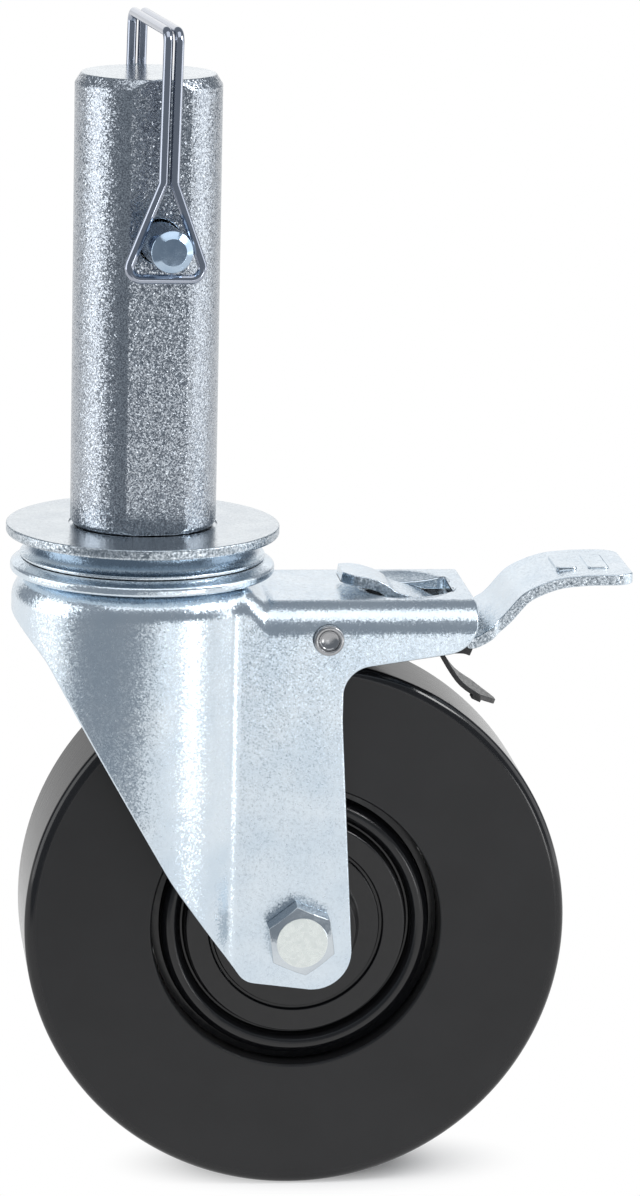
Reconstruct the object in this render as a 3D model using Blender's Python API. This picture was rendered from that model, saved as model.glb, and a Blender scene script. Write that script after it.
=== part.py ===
"""Swivel castor for scaffold tube, with a plug-in stem, lock pin and wheel brake.

Metres, +Z up.  The origin is on the stem's axis, on the top face of the seat disc where the
scaffold tube comes to rest.  The wheel trails towards +X and its axle runs along Y.
"""
import math

import bmesh
import bpy
from mathutils import Matrix, Vector

MM = 0.001

# Clearances
SEAT_GAP = 0.3 * MM        # between faces that touch
RUN_GAP = 0.35 * MM        # radial, round turning and sliding pieces
ARC_STEP = math.radians(15)

# Stem, its turned kingpin and the cross hole
STEM_LENGTH = 103.0 * MM
STEM_RADIUS = 16.65 * MM
STEM_FLAT = 15.2 * MM      # from the axis to the front and back flats
STEM_CHAMFER = 1.5 * MM
STEM_CHAMFER_RISE = 2.4 * MM
FOOT_CHAMFER = 0.7 * MM
FOOT_CHAMFER_RISE = 1.1 * MM
STEM_TURN = math.radians(6.0)
KINGPIN_RADIUS = 7.0 * MM
THREAD_RADIUS = 6.0 * MM

# Seat disc and swivel head
DISC_THICK = 2.4 * MM
SEAT_RECESS = 0.35 * MM    # round the stem's foot, so the seat itself stays flat
UPPER_RACE_THICK = 2.5 * MM
NECK_DEPTH = 4.7 * MM      # neck and lip of the upper race
LIP_THICK = 0.7 * MM
BALL_RADIUS = 2.5 * MM
UPPER_BALL_COUNT = 10
LOWER_BALL_CIRCLE = 14.0 * MM
LOWER_BALL_COUNT = 6
RING_OVERHANG = 0.35 * MM  # over the fork's crown
RING_FLOOR = 0.7 * MM      # steel left under the ball track
LOWER_CUP_RADIUS = 18.4 * MM
LOWER_CUP_WALL = 2.0 * MM
NUT_ACROSS_FLATS = 19.0 * MM
NUT_HEIGHT = 6.0 * MM

# Pressed fork
SHEET = 3.0 * MM
CROWN_RADIUS = 29.9 * MM
CROWN_SHOULDER = 6.0 * MM
CREASE_RADIUS = 5.0 * MM   # hollow fillet between the round crown and the flat sides
LEG_HALF_WIDTH = 22.7 * MM
CROWN_STEP = 3.55 * MM     # arm top below crown top
ARM_BEND = 7.5 * MM
ARM_END = 75.0 * MM
ARM_DEPTH = 10.45 * MM     # from the arm's top to its lower edge at the rear
ARM_TAPER = 4.6 * MM       # how much lower that edge runs at the legs
CROWN_SKIRT = 8.2 * MM     # straight front skirt below the crown's top
SKIRT_RUN = 6.9 * MM       # from the crown's front to where the legs' front edge starts
SKIRT_FALL = 8.6 * MM
SKIRT_ROUND = 20.0 * MM
LEG_REAR = 44.4 * MM
LEG_FOOT = 14.6 * MM       # below the axle's centre
LEG_WAIST = 30.0 * MM      # front edge's bend, ahead of the axle
LEG_WAIST_RISE = 14.0 * MM
LEG_TOE = 12.6 * MM        # front corner of the foot, ahead of the axle
LEG_TOE_DROP = 11.3 * MM
LEG_HEEL = 3.9 * MM        # rear corner of the foot, behind the leg's rear edge
WAIST_ROUND = 60.0 * MM
TOE_ROUND = 5.0 * MM
HEEL_ROUND = 9.0 * MM
LEG_REAR_ROUND = 30.0 * MM
ARMPIT_ROUND = 9.0 * MM    # between a leg and the arm
ARM_TIP_ROUND = 8.0 * MM
KINGPIN_HOLE = 9.0 * MM
WINDOW_FRONT = 51.5 * MM
WINDOW_REAR = 71.2 * MM
WINDOW_HALF_WIDTH = 7.9 * MM
SADDLE_X = 60.5 * MM       # shallow dip across the window's rims
SADDLE_DEPTH = 1.6 * MM
SADDLE_HALF_LENGTH = 11.7 * MM
SADDLE_HALF_WIDTH = 15.5 * MM
SADDLE_RISE = 4.4 * MM     # centre of the dip's curve above the arm

# Wheel
WHEEL_RADIUS = 62.5 * MM
WHEEL_HALF_WIDTH = 16.0 * MM
AXLE_OFFSET = 35.4 * MM
TREAD_CLEARANCE = 14.65 * MM  # between the arm's top and the tread
TYRE_BORE = 33.4 * MM
TYRE_EDGE = 2.4 * MM
HUB_BORE = 10.2 * MM
HUB_BOSS_RADIUS = 13.5 * MM
HUB_GROOVE = 2.4 * MM      # between the hub's raised ring and the tyre
HUB_RING_WIDTH = 5.1 * MM
WHEEL_STEPS = 48

# Axle
BOLT_RADIUS = 4.75 * MM
BOLT_ACROSS_FLATS = 14.2 * MM
BOLT_HEAD = 6.2 * MM
BOLT_HEAD_TURN = math.radians(8.0)
LOCKNUT_HEIGHT = 8.0 * MM
SLEEVE_RADIUS = 6.35 * MM
CAP_RADIUS = 12.0 * MM
ROLLER_COUNT = 8

# Brake
RIVET_X = 40.7 * MM
RIVET_DROP = 7.75 * MM     # below the arm's top
RIVET_RADIUS = 2.9 * MM
RIVET_HEAD_RADIUS = 3.5 * MM
RIVET_HEAD = 1.1 * MM
FULCRUM_X = 61.5 * MM
FULCRUM_RADIUS = 2.0 * MM
LEVER_SHEET = 2.5 * MM
TONGUE_TIP_X = 45.7 * MM
TONGUE_RISE = 4.0 * MM     # tip above the arm's top
TONGUE_HALF_WIDTH = 7.2 * MM
KNEE_DROP = 1.45 * MM      # over the fulcrum, below the arm's top
PEDAL_HALF_WIDTH = 14.0 * MM
PEDAL_ROOT_HALF_WIDTH = 15.2 * MM
PEDAL_ROOT_LENGTH = 5.9 * MM  # wide part of the pedal behind the arm
PEDAL_TIP_X = 112.0 * MM
PEDAL_RISE = 5.1 * MM      # above the arm's top
PEDAL_CORNER = 5.0 * MM
PAD_RISE = 0.3 * MM
PAD_LENGTH = 4.8 * MM
PAD_HALF_WIDTH = 6.8 * MM
SHOE_SHEET = 1.8 * MM
EYE_WALL = 1.15 * MM
SHOE_HALF_WIDTH = 12.0 * MM
TAIL_SHEET = 1.1 * MM
TAIL_HALF_WIDTH = 7.5 * MM
TAIL_REACH = 7.6 * MM      # tip behind the arm's end
TAIL_DROP = 15.3 * MM      # tip below the shoe's nose
TAIL_ROOT = 7.0 * MM       # where it leaves the leaf, ahead of the arm's end
SPRING_WIRE = 0.5 * MM
SPRING_TURNS = 2

# Lock pin and wire clip
PIN_HEIGHT = 67.0 * MM
PIN_RADIUS = 4.7 * MM
PIN_FRONT = 32.0 * MM      # tip, in front of the stem's axis
PIN_BACK = 24.5 * MM
PIN_NECK_RADIUS = 2.7 * MM
WIRE_RADIUS = 1.1 * MM
WIRE_SPACING = 2.5 * MM
WIRE_BEND = 2.6 * MM
CLIP_FRONT = 24.0 * MM
CLIP_BACK = 20.0 * MM
CLIP_CLEARANCE = 11.5 * MM # bow above the stem's top
CLIP_JUNCTION = 14.2 * MM  # where the loop opens, above the pin
CLIP_DROP = 7.1 * MM       # loop's bottom bar below the pin
LOOP_HALF_WIDTH = 9.4 * MM
CLIP_LEAN = math.radians(1.2)

# Radii of the swivel head that follow the fork's crown
RING_RADIUS = CROWN_RADIUS + RING_OVERHANG
DISC_RADIUS = RING_RADIUS + 1.0 * MM
LIP_RADIUS = RING_RADIUS - 2.2 * MM
NECK_RADIUS = LIP_RADIUS - 2.55 * MM
UPPER_BALL_CIRCLE = NECK_RADIUS - 4.0 * MM

# Raised ring on the hub's face, which follows the tyre's bore
HUB_RING_OUTER = TYRE_BORE - HUB_GROOVE
HUB_RING_INNER = HUB_RING_OUTER - HUB_RING_WIDTH

# Heights that follow, with the seat disc's top face at zero
NECK_TOP = -DISC_THICK - SEAT_GAP
LIP_UNDER = NECK_TOP - NECK_DEPTH
RACE_UNDER = NECK_TOP - UPPER_RACE_THICK
UPPER_BALL_Z = RACE_UNDER - 2.3 * MM
RING_TRACK = UPPER_BALL_Z - BALL_RADIUS - SEAT_GAP
RING_BASE = RING_TRACK - RING_FLOOR
CROWN_TOP = RING_BASE - SEAT_GAP
ARM_TOP = CROWN_TOP - CROWN_STEP
LOWER_BALL_Z = CROWN_TOP - SHEET - SEAT_GAP - BALL_RADIUS
CUP_TRACK = LOWER_BALL_Z - BALL_RADIUS - SEAT_GAP
CUP_BASE = CUP_TRACK - LOWER_CUP_WALL
NUT_TOP = CUP_BASE - SEAT_GAP
AXLE_Z = ARM_TOP - TREAD_CLEARANCE - WHEEL_RADIUS
RIVET_Z = ARM_TOP - RIVET_DROP
LEG_INNER = LEG_HALF_WIDTH - SHEET
KNEE_Z = ARM_TOP - KNEE_DROP
FULCRUM_Z = KNEE_Z - LEVER_SHEET - FULCRUM_RADIUS - SEAT_GAP
CLIP_RISE = STEM_LENGTH - PIN_HEIGHT + CLIP_CLEARANCE


def clear_scene():
    """Start from an empty scene."""
    for item in list(bpy.data.objects):
        bpy.data.objects.remove(item, do_unlink=True)


def finish(name, colour, metallic, roughness):
    """A plain Principled material."""
    made = bpy.data.materials.new(name)
    made.use_nodes = True
    shader = made.node_tree.nodes["Principled BSDF"]
    shader.inputs["Base Color"].default_value = (*colour, 1.0)
    shader.inputs["Metallic"].default_value = metallic
    shader.inputs["Roughness"].default_value = roughness
    made.diffuse_color = (*colour, 1.0)
    return made


def add_object(name, mesh, look, angle=30.0):
    """Link a mesh as a named piece, smooth over its round faces."""
    mesh.shade_smooth()
    mesh.set_sharp_from_angle(angle=math.radians(angle))
    mesh.materials.clear()
    mesh.materials.append(look)
    piece = bpy.data.objects.new(name, mesh)
    bpy.context.scene.collection.objects.link(piece)
    return piece


def to_mesh(shape, name="shape"):
    """Close a bmesh into a mesh whose faces point out."""
    bmesh.ops.remove_doubles(shape, verts=shape.verts, dist=0.002 * MM)
    bmesh.ops.recalc_face_normals(shape, faces=shape.faces)
    if shape.calc_volume(signed=True) < 0:
        bmesh.ops.reverse_faces(shape, faces=shape.faces)
    mesh = bpy.data.meshes.new(name)
    shape.to_mesh(mesh)
    shape.free()
    return mesh


def turned(profile, steps, ring=False):
    """Spin a profile of (radius, height) points about Z.  A ring's profile is a closed loop."""
    shape = bmesh.new()
    points = [shape.verts.new((radius, 0.0, height)) for radius, height in profile]
    pairs = list(zip(points, points[1:]))
    if ring:
        pairs.append((points[-1], points[0]))
    edges = [shape.edges.new(pair) for pair in pairs]
    bmesh.ops.spin(shape, geom=points + edges, cent=(0, 0, 0), axis=(0, 0, 1),
                   dvec=(0, 0, 0), angle=math.tau, steps=steps, use_merge=True)
    return to_mesh(shape)


def extruded(outline, low, high, along="Y"):
    """A prism: an outline of (x, z) points run along Y, or of (x, y) points run along Z."""
    shape = bmesh.new()
    if along == "Y":
        points = [shape.verts.new((x, low, z)) for x, z in outline]
        travel = (0, high - low, 0)
    else:
        points = [shape.verts.new((x, y, low)) for x, y in outline]
        travel = (0, 0, high - low)
    face = shape.faces.new(points)
    moved = bmesh.ops.extrude_face_region(shape, geom=[face])["geom"]
    bmesh.ops.translate(shape, vec=travel, verts=[v for v in moved if isinstance(v, bmesh.types.BMVert)])
    return to_mesh(shape)


def rounded(corners):
    """Round each (x, z, radius) corner of a closed outline with an arc."""
    outline = []
    for index, (x, z, radius) in enumerate(corners):
        corner = Vector((x, z))
        if radius == 0:
            outline.append((x, z))
            continue
        before = (Vector(corners[index - 1][:2]) - corner).normalized()
        after = (Vector(corners[(index + 1) % len(corners)][:2]) - corner).normalized()
        half = before.angle(after) / 2
        centre = corner + (before + after).normalized() * (radius / math.sin(half))
        start = corner + before * (radius / math.tan(half)) - centre
        sweep = start.angle_signed(corner + after * (radius / math.tan(half)) - centre)
        count = max(1, round(abs(sweep) / ARC_STEP))
        for step in range(count + 1):
            turn = -sweep * step / count
            spoke = Matrix.Rotation(turn, 2) @ start
            outline.append(tuple(centre + spoke))
    return outline


def strip(line, thick):
    """The outline of a bent sheet whose upper face follows a line of (x, z) points."""
    lower = []
    for index, point in enumerate(line):
        here = Vector(point)
        ahead = Vector(line[min(index + 1, len(line) - 1)]) - here
        behind = here - Vector(line[max(index - 1, 0)])
        along = (ahead.normalized() + behind.normalized()).normalized()
        spread = max(0.8, along.dot(ahead.normalized() if ahead.length else behind.normalized()))
        lower.append(tuple(here + Vector((along.y, -along.x)) * (thick / spread)))
    return list(line) + lower[::-1]


def smooth_line(points, per_span=4):
    """A Catmull-Rom curve through (x, z) points."""
    ends = [points[0]] + list(points) + [points[-1]]
    line = []
    for first, second, third, fourth in zip(ends, ends[1:], ends[2:], ends[3:]):
        a, b, c, d = Vector(first), Vector(second), Vector(third), Vector(fourth)
        for step in range(per_span):
            t = step / per_span
            line.append(tuple(0.5 * (2 * b + (c - a) * t + (2 * a - 5 * b + 4 * c - d) * t ** 2
                                     + (3 * b - a - 3 * c + d) * t ** 3)))
    line.append(tuple(points[-1]))
    return line


def combine(piece, tool, operation):
    """Apply a Boolean with a tool object, which is used up."""
    modifier = piece.modifiers.new(operation.lower(), "BOOLEAN")
    modifier.operation = operation
    modifier.solver = "EXACT"
    modifier.object = tool
    depsgraph = bpy.context.evaluated_depsgraph_get()
    result = bpy.data.meshes.new_from_object(piece.evaluated_get(depsgraph))
    piece.modifiers.clear()
    piece.data = result
    bpy.data.objects.remove(tool)


def tool_object(mesh, place=Matrix()):
    """A hidden helper solid for one Boolean."""
    tool = bpy.data.objects.new("tool", mesh)
    tool.matrix_world = place
    tool.hide_render = True
    tool.display_type = "WIRE"
    bpy.context.scene.collection.objects.link(tool)
    return tool


def rod(radius, low, high, steps=24):
    """A plain cylinder along Z."""
    return turned([(0, high), (radius, high), (radius, low), (0, low)], steps)


def tube(outer, inner, low, high, steps=32):
    """A plain pipe along Z."""
    return turned([(outer, high), (outer, low), (inner, low), (inner, high)], steps, ring=True)


def hexagon(across_flats, low, high, bore=0.0, share=1.0):
    """A hexagon bar or nut along Z, coned to a circle that is a share of its flats' width."""
    corner = across_flats / math.sqrt(3)
    points = [(corner * math.cos(math.radians(60 * side)), corner * math.sin(math.radians(60 * side)))
              for side in range(6)]
    piece = bpy.data.objects.new("hexagon", extruded(points, low, high, "Z"))
    bpy.context.scene.collection.objects.link(piece)
    circle = share * across_flats / 2
    slope = math.tan(math.radians(30))
    wide = 1.1 * corner
    steps = 36
    cone = turned([(0, high + MM), (circle - MM / slope, high + MM),
                   (wide, high - (wide - circle) * slope), (wide, low - MM), (0, low - MM)], steps)
    half_step = Matrix.Rotation(math.pi / steps, 4, "Z")   # keeps the cone's edges off the corners
    combine(piece, tool_object(cone, half_step), "INTERSECT")
    if bore:
        combine(piece, tool_object(rod(bore, low - MM, high + MM)), "DIFFERENCE")
    mesh = piece.data
    bpy.data.objects.remove(piece)
    return mesh


ALONG_Y = Matrix.Rotation(math.radians(90), 4, "X")      # local +Z points to -Y
STEM_FRAME = Matrix.Rotation(STEM_TURN, 4, "Z")


def at(x, y, z):
    return Matrix.Translation((x, y, z))


def move_mesh(mesh, place):
    """Bake a placement into a mesh."""
    mesh.transform(place)
    return mesh


def make_stem(look):
    """Round bar with front and back flats, chamfered ends and a turned kingpin below."""
    base = SEAT_GAP - SEAT_RECESS
    thread_top = CUP_BASE - SEAT_GAP
    end = NUT_TOP - NUT_HEIGHT - 1.5 * MM
    profile = [(0, STEM_LENGTH), (STEM_RADIUS - STEM_CHAMFER, STEM_LENGTH),
               (STEM_RADIUS, STEM_LENGTH - STEM_CHAMFER_RISE),
               (STEM_RADIUS, base + FOOT_CHAMFER_RISE), (STEM_RADIUS - FOOT_CHAMFER, base),
               (KINGPIN_RADIUS, base), (KINGPIN_RADIUS, CUP_BASE + LOWER_CUP_WALL),
               (THREAD_RADIUS, CUP_BASE + LOWER_CUP_WALL), (THREAD_RADIUS, thread_top),
               (THREAD_RADIUS, end + MM), (THREAD_RADIUS - MM, end), (0, end)]
    stem = add_object("stem", turned(profile, 40), look)
    wide = 2 * STEM_RADIUS
    for side in (-1, 1):
        near, far = sorted((side * STEM_FLAT, side * wide))
        slab = [(-wide, near), (wide, near), (wide, far), (-wide, far)]
        combine(stem, tool_object(extruded(slab, -MM, STEM_LENGTH + MM, "Z")), "DIFFERENCE")
    hole = rod(PIN_RADIUS + RUN_GAP, -wide, wide, 32)
    combine(stem, tool_object(hole, at(0, 0, PIN_HEIGHT) @ ALONG_Y), "DIFFERENCE")
    move_mesh(stem.data, STEM_FRAME)
    stem.data.shade_smooth()
    stem.data.set_sharp_from_angle(angle=math.radians(25))
    return stem


def make_seat_disc(look):
    """Flat disc that the scaffold tube stands on, with a shallow recess for the stem's foot."""
    bore = KINGPIN_RADIUS + SEAT_GAP
    recess = STEM_RADIUS + SEAT_GAP
    edge = 0.5 * MM
    profile = [(bore, -SEAT_RECESS), (recess, -SEAT_RECESS), (recess, 0),
               (DISC_RADIUS - edge, 0), (DISC_RADIUS, -edge),
               (DISC_RADIUS, edge - DISC_THICK), (DISC_RADIUS - edge, -DISC_THICK), (bore, -DISC_THICK)]
    return add_object("seat_disc", turned(profile, 48, ring=True), look)


def track(circle, height, radius, rising, count=3):
    """Half-round ball track in a profile, from the outside in."""
    points = []
    for step in range(count + 1):
        turn = math.pi * (0.2 + 0.6 * step / count)
        points.append((circle + radius * math.cos(turn), height + rising * radius * math.sin(turn)))
    return points


def make_upper_race(look):
    """Race under the disc: its neck shows, and flares into a lip over the dust ring."""
    bore = KINGPIN_RADIUS + SEAT_GAP
    start = NECK_TOP - 0.2 * NECK_DEPTH
    lip_top = LIP_UNDER + LIP_THICK
    flare = []
    for step in range(5):
        turn = math.radians(90) * step / 4
        flare.append((NECK_RADIUS + (LIP_RADIUS - 0.3 * MM - NECK_RADIUS) * (1 - math.cos(turn)),
                      start - (start - lip_top) * math.sin(turn)))
    profile = [(bore, NECK_TOP), (NECK_RADIUS, NECK_TOP)] + flare
    profile += [(LIP_RADIUS, lip_top - 0.3 * MM), (LIP_RADIUS - 0.1 * MM, LIP_UNDER),
                (UPPER_BALL_CIRCLE + 3.0 * MM, LIP_UNDER)]
    profile += track(UPPER_BALL_CIRCLE, UPPER_BALL_Z, BALL_RADIUS + SEAT_GAP, 1)
    profile += [(bore + 4 * MM, RACE_UNDER), (bore + 4 * MM, UPPER_BALL_Z), (bore, UPPER_BALL_Z)]
    return add_object("upper_race", turned(profile, 40, ring=True), look)


def make_race_ring(look):
    """Dust ring and lower track of the top bearing, seated on the fork's crown."""
    bore = KINGPIN_HOLE
    shelf = LIP_UNDER - RUN_GAP
    profile = [(bore, RING_BASE), (RING_RADIUS - 0.6 * MM, RING_BASE), (RING_RADIUS, RING_BASE + 0.6 * MM),
               (RING_RADIUS, RING_BASE + 1.7 * MM), (LIP_RADIUS + 0.2 * MM, shelf - 0.3 * MM),
               (LIP_RADIUS - 0.1 * MM, shelf), (UPPER_BALL_CIRCLE + 3.0 * MM, shelf)]
    profile += track(UPPER_BALL_CIRCLE, UPPER_BALL_Z, BALL_RADIUS + SEAT_GAP, -1)
    profile += [(UPPER_BALL_CIRCLE - 3.0 * MM, shelf), (bore, shelf - 1.5 * MM)]
    return add_object("race_ring", turned(profile, 44, ring=True), look)


def make_ball_row(name, count, circle, height, look):
    """Balls held in a flat pressed cage."""
    cage_half = 0.35 * MM
    cage = tube(circle + 0.7 * BALL_RADIUS, circle - 0.7 * BALL_RADIUS,
                height - cage_half, height + cage_half, 24)
    row = add_object(name, cage, look)
    balls = bmesh.new()
    for index in range(count):
        turn = math.tau * index / count
        spot = Vector((circle * math.cos(turn), circle * math.sin(turn), height))
        bmesh.ops.create_icosphere(balls, subdivisions=2, radius=BALL_RADIUS,
                                   matrix=Matrix.Translation(spot))
    mesh = bpy.data.meshes.new("balls")
    balls.to_mesh(mesh)
    balls.free()
    combine(row, tool_object(mesh), "UNION")
    return row


def make_lower_cup(look):
    """Cup that closes the lower ball row, clamped by the kingpin nut."""
    bore = THREAD_RADIUS + SEAT_GAP
    rim = LOWER_BALL_Z + 0.5 * MM
    inner = LOWER_CUP_RADIUS - 1.2 * MM
    profile = [(bore, CUP_BASE), (LOWER_CUP_RADIUS - 1.5 * MM, CUP_BASE),
               (LOWER_CUP_RADIUS, CUP_BASE + 1.5 * MM), (LOWER_CUP_RADIUS, rim), (inner, rim),
               (inner, LOWER_BALL_Z - 0.8 * BALL_RADIUS)]
    profile += track(LOWER_BALL_CIRCLE, LOWER_BALL_Z, BALL_RADIUS + SEAT_GAP, -1)
    shoulder = LOWER_BALL_CIRCLE - (inner - LOWER_BALL_CIRCLE)
    profile += [(shoulder, LOWER_BALL_Z - 0.8 * BALL_RADIUS), (bore, CUP_TRACK - SEAT_GAP)]
    return add_object("lower_race", turned(profile, 32, ring=True), look)


def fork_plan(inset):
    """Half of the fork's plan, front to rear: (x, y, normal x, normal y) for each station."""
    centre_y = LEG_HALF_WIDTH + CREASE_RADIUS
    centre_x = math.sqrt((CROWN_RADIUS + CREASE_RADIUS) ** 2 - centre_y ** 2)
    meet = math.atan2(centre_y, centre_x)
    stations = []
    front_steps = 14
    for step in range(front_steps + 1):
        turn = math.pi + (meet - math.pi) * step / front_steps
        stations.append((CROWN_RADIUS * math.cos(turn), CROWN_RADIUS * math.sin(turn),
                         math.cos(turn), math.sin(turn)))
    crease_steps = 4
    for step in range(1, crease_steps + 1):
        turn = meet + (math.pi / 2 - meet) * step / crease_steps
        stations.append((centre_x - CREASE_RADIUS * math.cos(turn),
                         centre_y - CREASE_RADIUS * math.sin(turn), math.cos(turn), math.sin(turn)))
    for x in (centre_x + 3 * MM, centre_x + 6 * MM, ARM_END + 12 * MM):
        stations.append((x, LEG_HALF_WIDTH, 0.0, 1.0))
    return [(x - nx * inset, y - ny * inset, nx, ny) for x, y, nx, ny in stations]


def crown_height(x):
    """Top of the sheet: the crown's level, then a short ramp down to the arm's level."""
    ramp_start = math.sqrt(CROWN_RADIUS ** 2 - LEG_HALF_WIDTH ** 2) + 2 * MM
    share = min(1.0, max(0.0, (x - ramp_start) / (6 * MM)))
    share = share * share * (3 - 2 * share)
    return CROWN_TOP + (ARM_TOP - CROWN_TOP) * share, CROWN_SHOULDER + (ARM_BEND - CROWN_SHOULDER) * share


def fork_block(inset, floor):
    """Closed loft of the pressing's outside, or of its inside when inset by the sheet."""
    plan = fork_plan(inset)
    levels = []
    shoulder_steps = 5
    for step in range(shoulder_steps + 1):
        turn = math.radians(90) * step / shoulder_steps
        level = []
        for x, y, nx, ny in plan:
            top, bend = crown_height(x)
            bend -= inset
            shift = bend * (1 - math.sin(turn))
            level.append((x - nx * shift, y - ny * shift, top - inset - bend * (1 - math.cos(turn))))
        levels.append(level)
    levels.append([(x, y, floor) for x, y, nx, ny in plan])
    shape = bmesh.new()
    loops = []
    for level in levels:
        near = [shape.verts.new((x, -y, z)) for x, y, z in level]
        far = [near[0]] + [shape.verts.new((x, y, z)) for x, y, z in level[1:]]
        loops.append((near, far))
    for (near, far), (next_near, next_far) in zip(loops, loops[1:]):
        for index in range(len(plan) - 1):
            shape.faces.new((near[index], near[index + 1], next_near[index + 1], next_near[index]))
            shape.faces.new((far[index + 1], far[index], next_far[index], next_far[index + 1]))
        shape.faces.new((near[-1], far[-1], next_far[-1], next_near[-1]))
    for near, far in (loops[0], loops[-1]):
        shape.faces.new((near[0], near[1], far[1]))
        for index in range(1, len(plan) - 1):
            shape.faces.new((near[index], near[index + 1], far[index + 1], far[index]))
    return to_mesh(shape)


def fork_side():
    """Side outline that the pressing is trimmed to."""
    top = 5 * MM
    foot = AXLE_Z - LEG_FOOT
    skirt = CROWN_TOP - CROWN_SKIRT
    arm_low = ARM_TOP - ARM_DEPTH
    return rounded([
        (-CROWN_RADIUS - 8 * MM, top, 0),
        (-CROWN_RADIUS - 8 * MM, skirt, 0),
        (-CROWN_RADIUS - 1.0 * MM, skirt, 1 * MM),
        (-CROWN_RADIUS + SKIRT_RUN, skirt - SKIRT_FALL, SKIRT_ROUND),
        (AXLE_OFFSET - LEG_WAIST, AXLE_Z + LEG_WAIST_RISE, WAIST_ROUND),
        (AXLE_OFFSET - LEG_TOE, AXLE_Z - LEG_TOE_DROP, TOE_ROUND),
        (LEG_REAR + LEG_HEEL, foot, HEEL_ROUND),
        (LEG_REAR, AXLE_Z + 0.75 * (arm_low - AXLE_Z), LEG_REAR_ROUND),
        (LEG_REAR, arm_low - ARM_TAPER, ARMPIT_ROUND),
        (ARM_END, arm_low, ARM_TIP_ROUND),
        (ARM_END, top, 0),
    ])


def saddle_tool():
    """The cap of an ellipsoid that dips the arm across the window."""
    height = SADDLE_DEPTH + SADDLE_RISE
    share = math.sqrt(1 - (SADDLE_RISE / height) ** 2)
    arc = [(math.sin(math.radians(turn)), -math.cos(math.radians(turn))) for turn in range(0, 57, 8)]
    cap = turned(arc + [(0, arc[-1][1])], 24)
    size = Matrix.Diagonal((SADDLE_HALF_LENGTH / share, SADDLE_HALF_WIDTH / share, height, 1))
    return tool_object(cap, at(SADDLE_X, 0, ARM_TOP + SADDLE_RISE) @ size)


def make_fork(look):
    """One pressing: round crown, channel arm with its window, and two flat legs."""
    fork = add_object("fork", fork_block(0.0, AXLE_Z - LEG_FOOT - 5 * MM), look)
    combine(fork, tool_object(fork_block(SHEET, AXLE_Z - LEG_FOOT - 8 * MM)), "DIFFERENCE")
    wide = CROWN_RADIUS + 5 * MM
    combine(fork, tool_object(extruded(fork_side(), -wide, wide)), "INTERSECT")
    combine(fork, tool_object(rod(KINGPIN_HOLE, CROWN_TOP - 2 * SHEET, CROWN_TOP + SHEET, 32)), "DIFFERENCE")
    window = rounded([(WINDOW_FRONT, -WINDOW_HALF_WIDTH, 2 * MM), (WINDOW_REAR, -WINDOW_HALF_WIDTH, 2 * MM),
                      (WINDOW_REAR, WINDOW_HALF_WIDTH, 2 * MM), (WINDOW_FRONT, WINDOW_HALF_WIDTH, 2 * MM)])
    combine(fork, tool_object(extruded(window, ARM_TOP - 2 * SHEET, ARM_TOP + SHEET, "Z")), "DIFFERENCE")
    combine(fork, saddle_tool(), "DIFFERENCE")
    axle_hole = rod(BOLT_RADIUS + SEAT_GAP, -wide, wide)
    combine(fork, tool_object(axle_hole, at(AXLE_OFFSET, 0, AXLE_Z) @ ALONG_Y), "DIFFERENCE")
    rivet_hole = rod(RIVET_RADIUS + SEAT_GAP, -wide, wide)
    combine(fork, tool_object(rivet_hole, at(RIVET_X, 0, RIVET_Z) @ ALONG_Y), "DIFFERENCE")
    fork.data.shade_smooth()
    fork.data.set_sharp_from_angle(angle=math.radians(32))
    return fork


def mirrored_profile(half):
    """A profile given from its outer side inwards, completed by its mirror image."""
    return half + [(radius, -height) for radius, height in reversed(half)]


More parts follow.
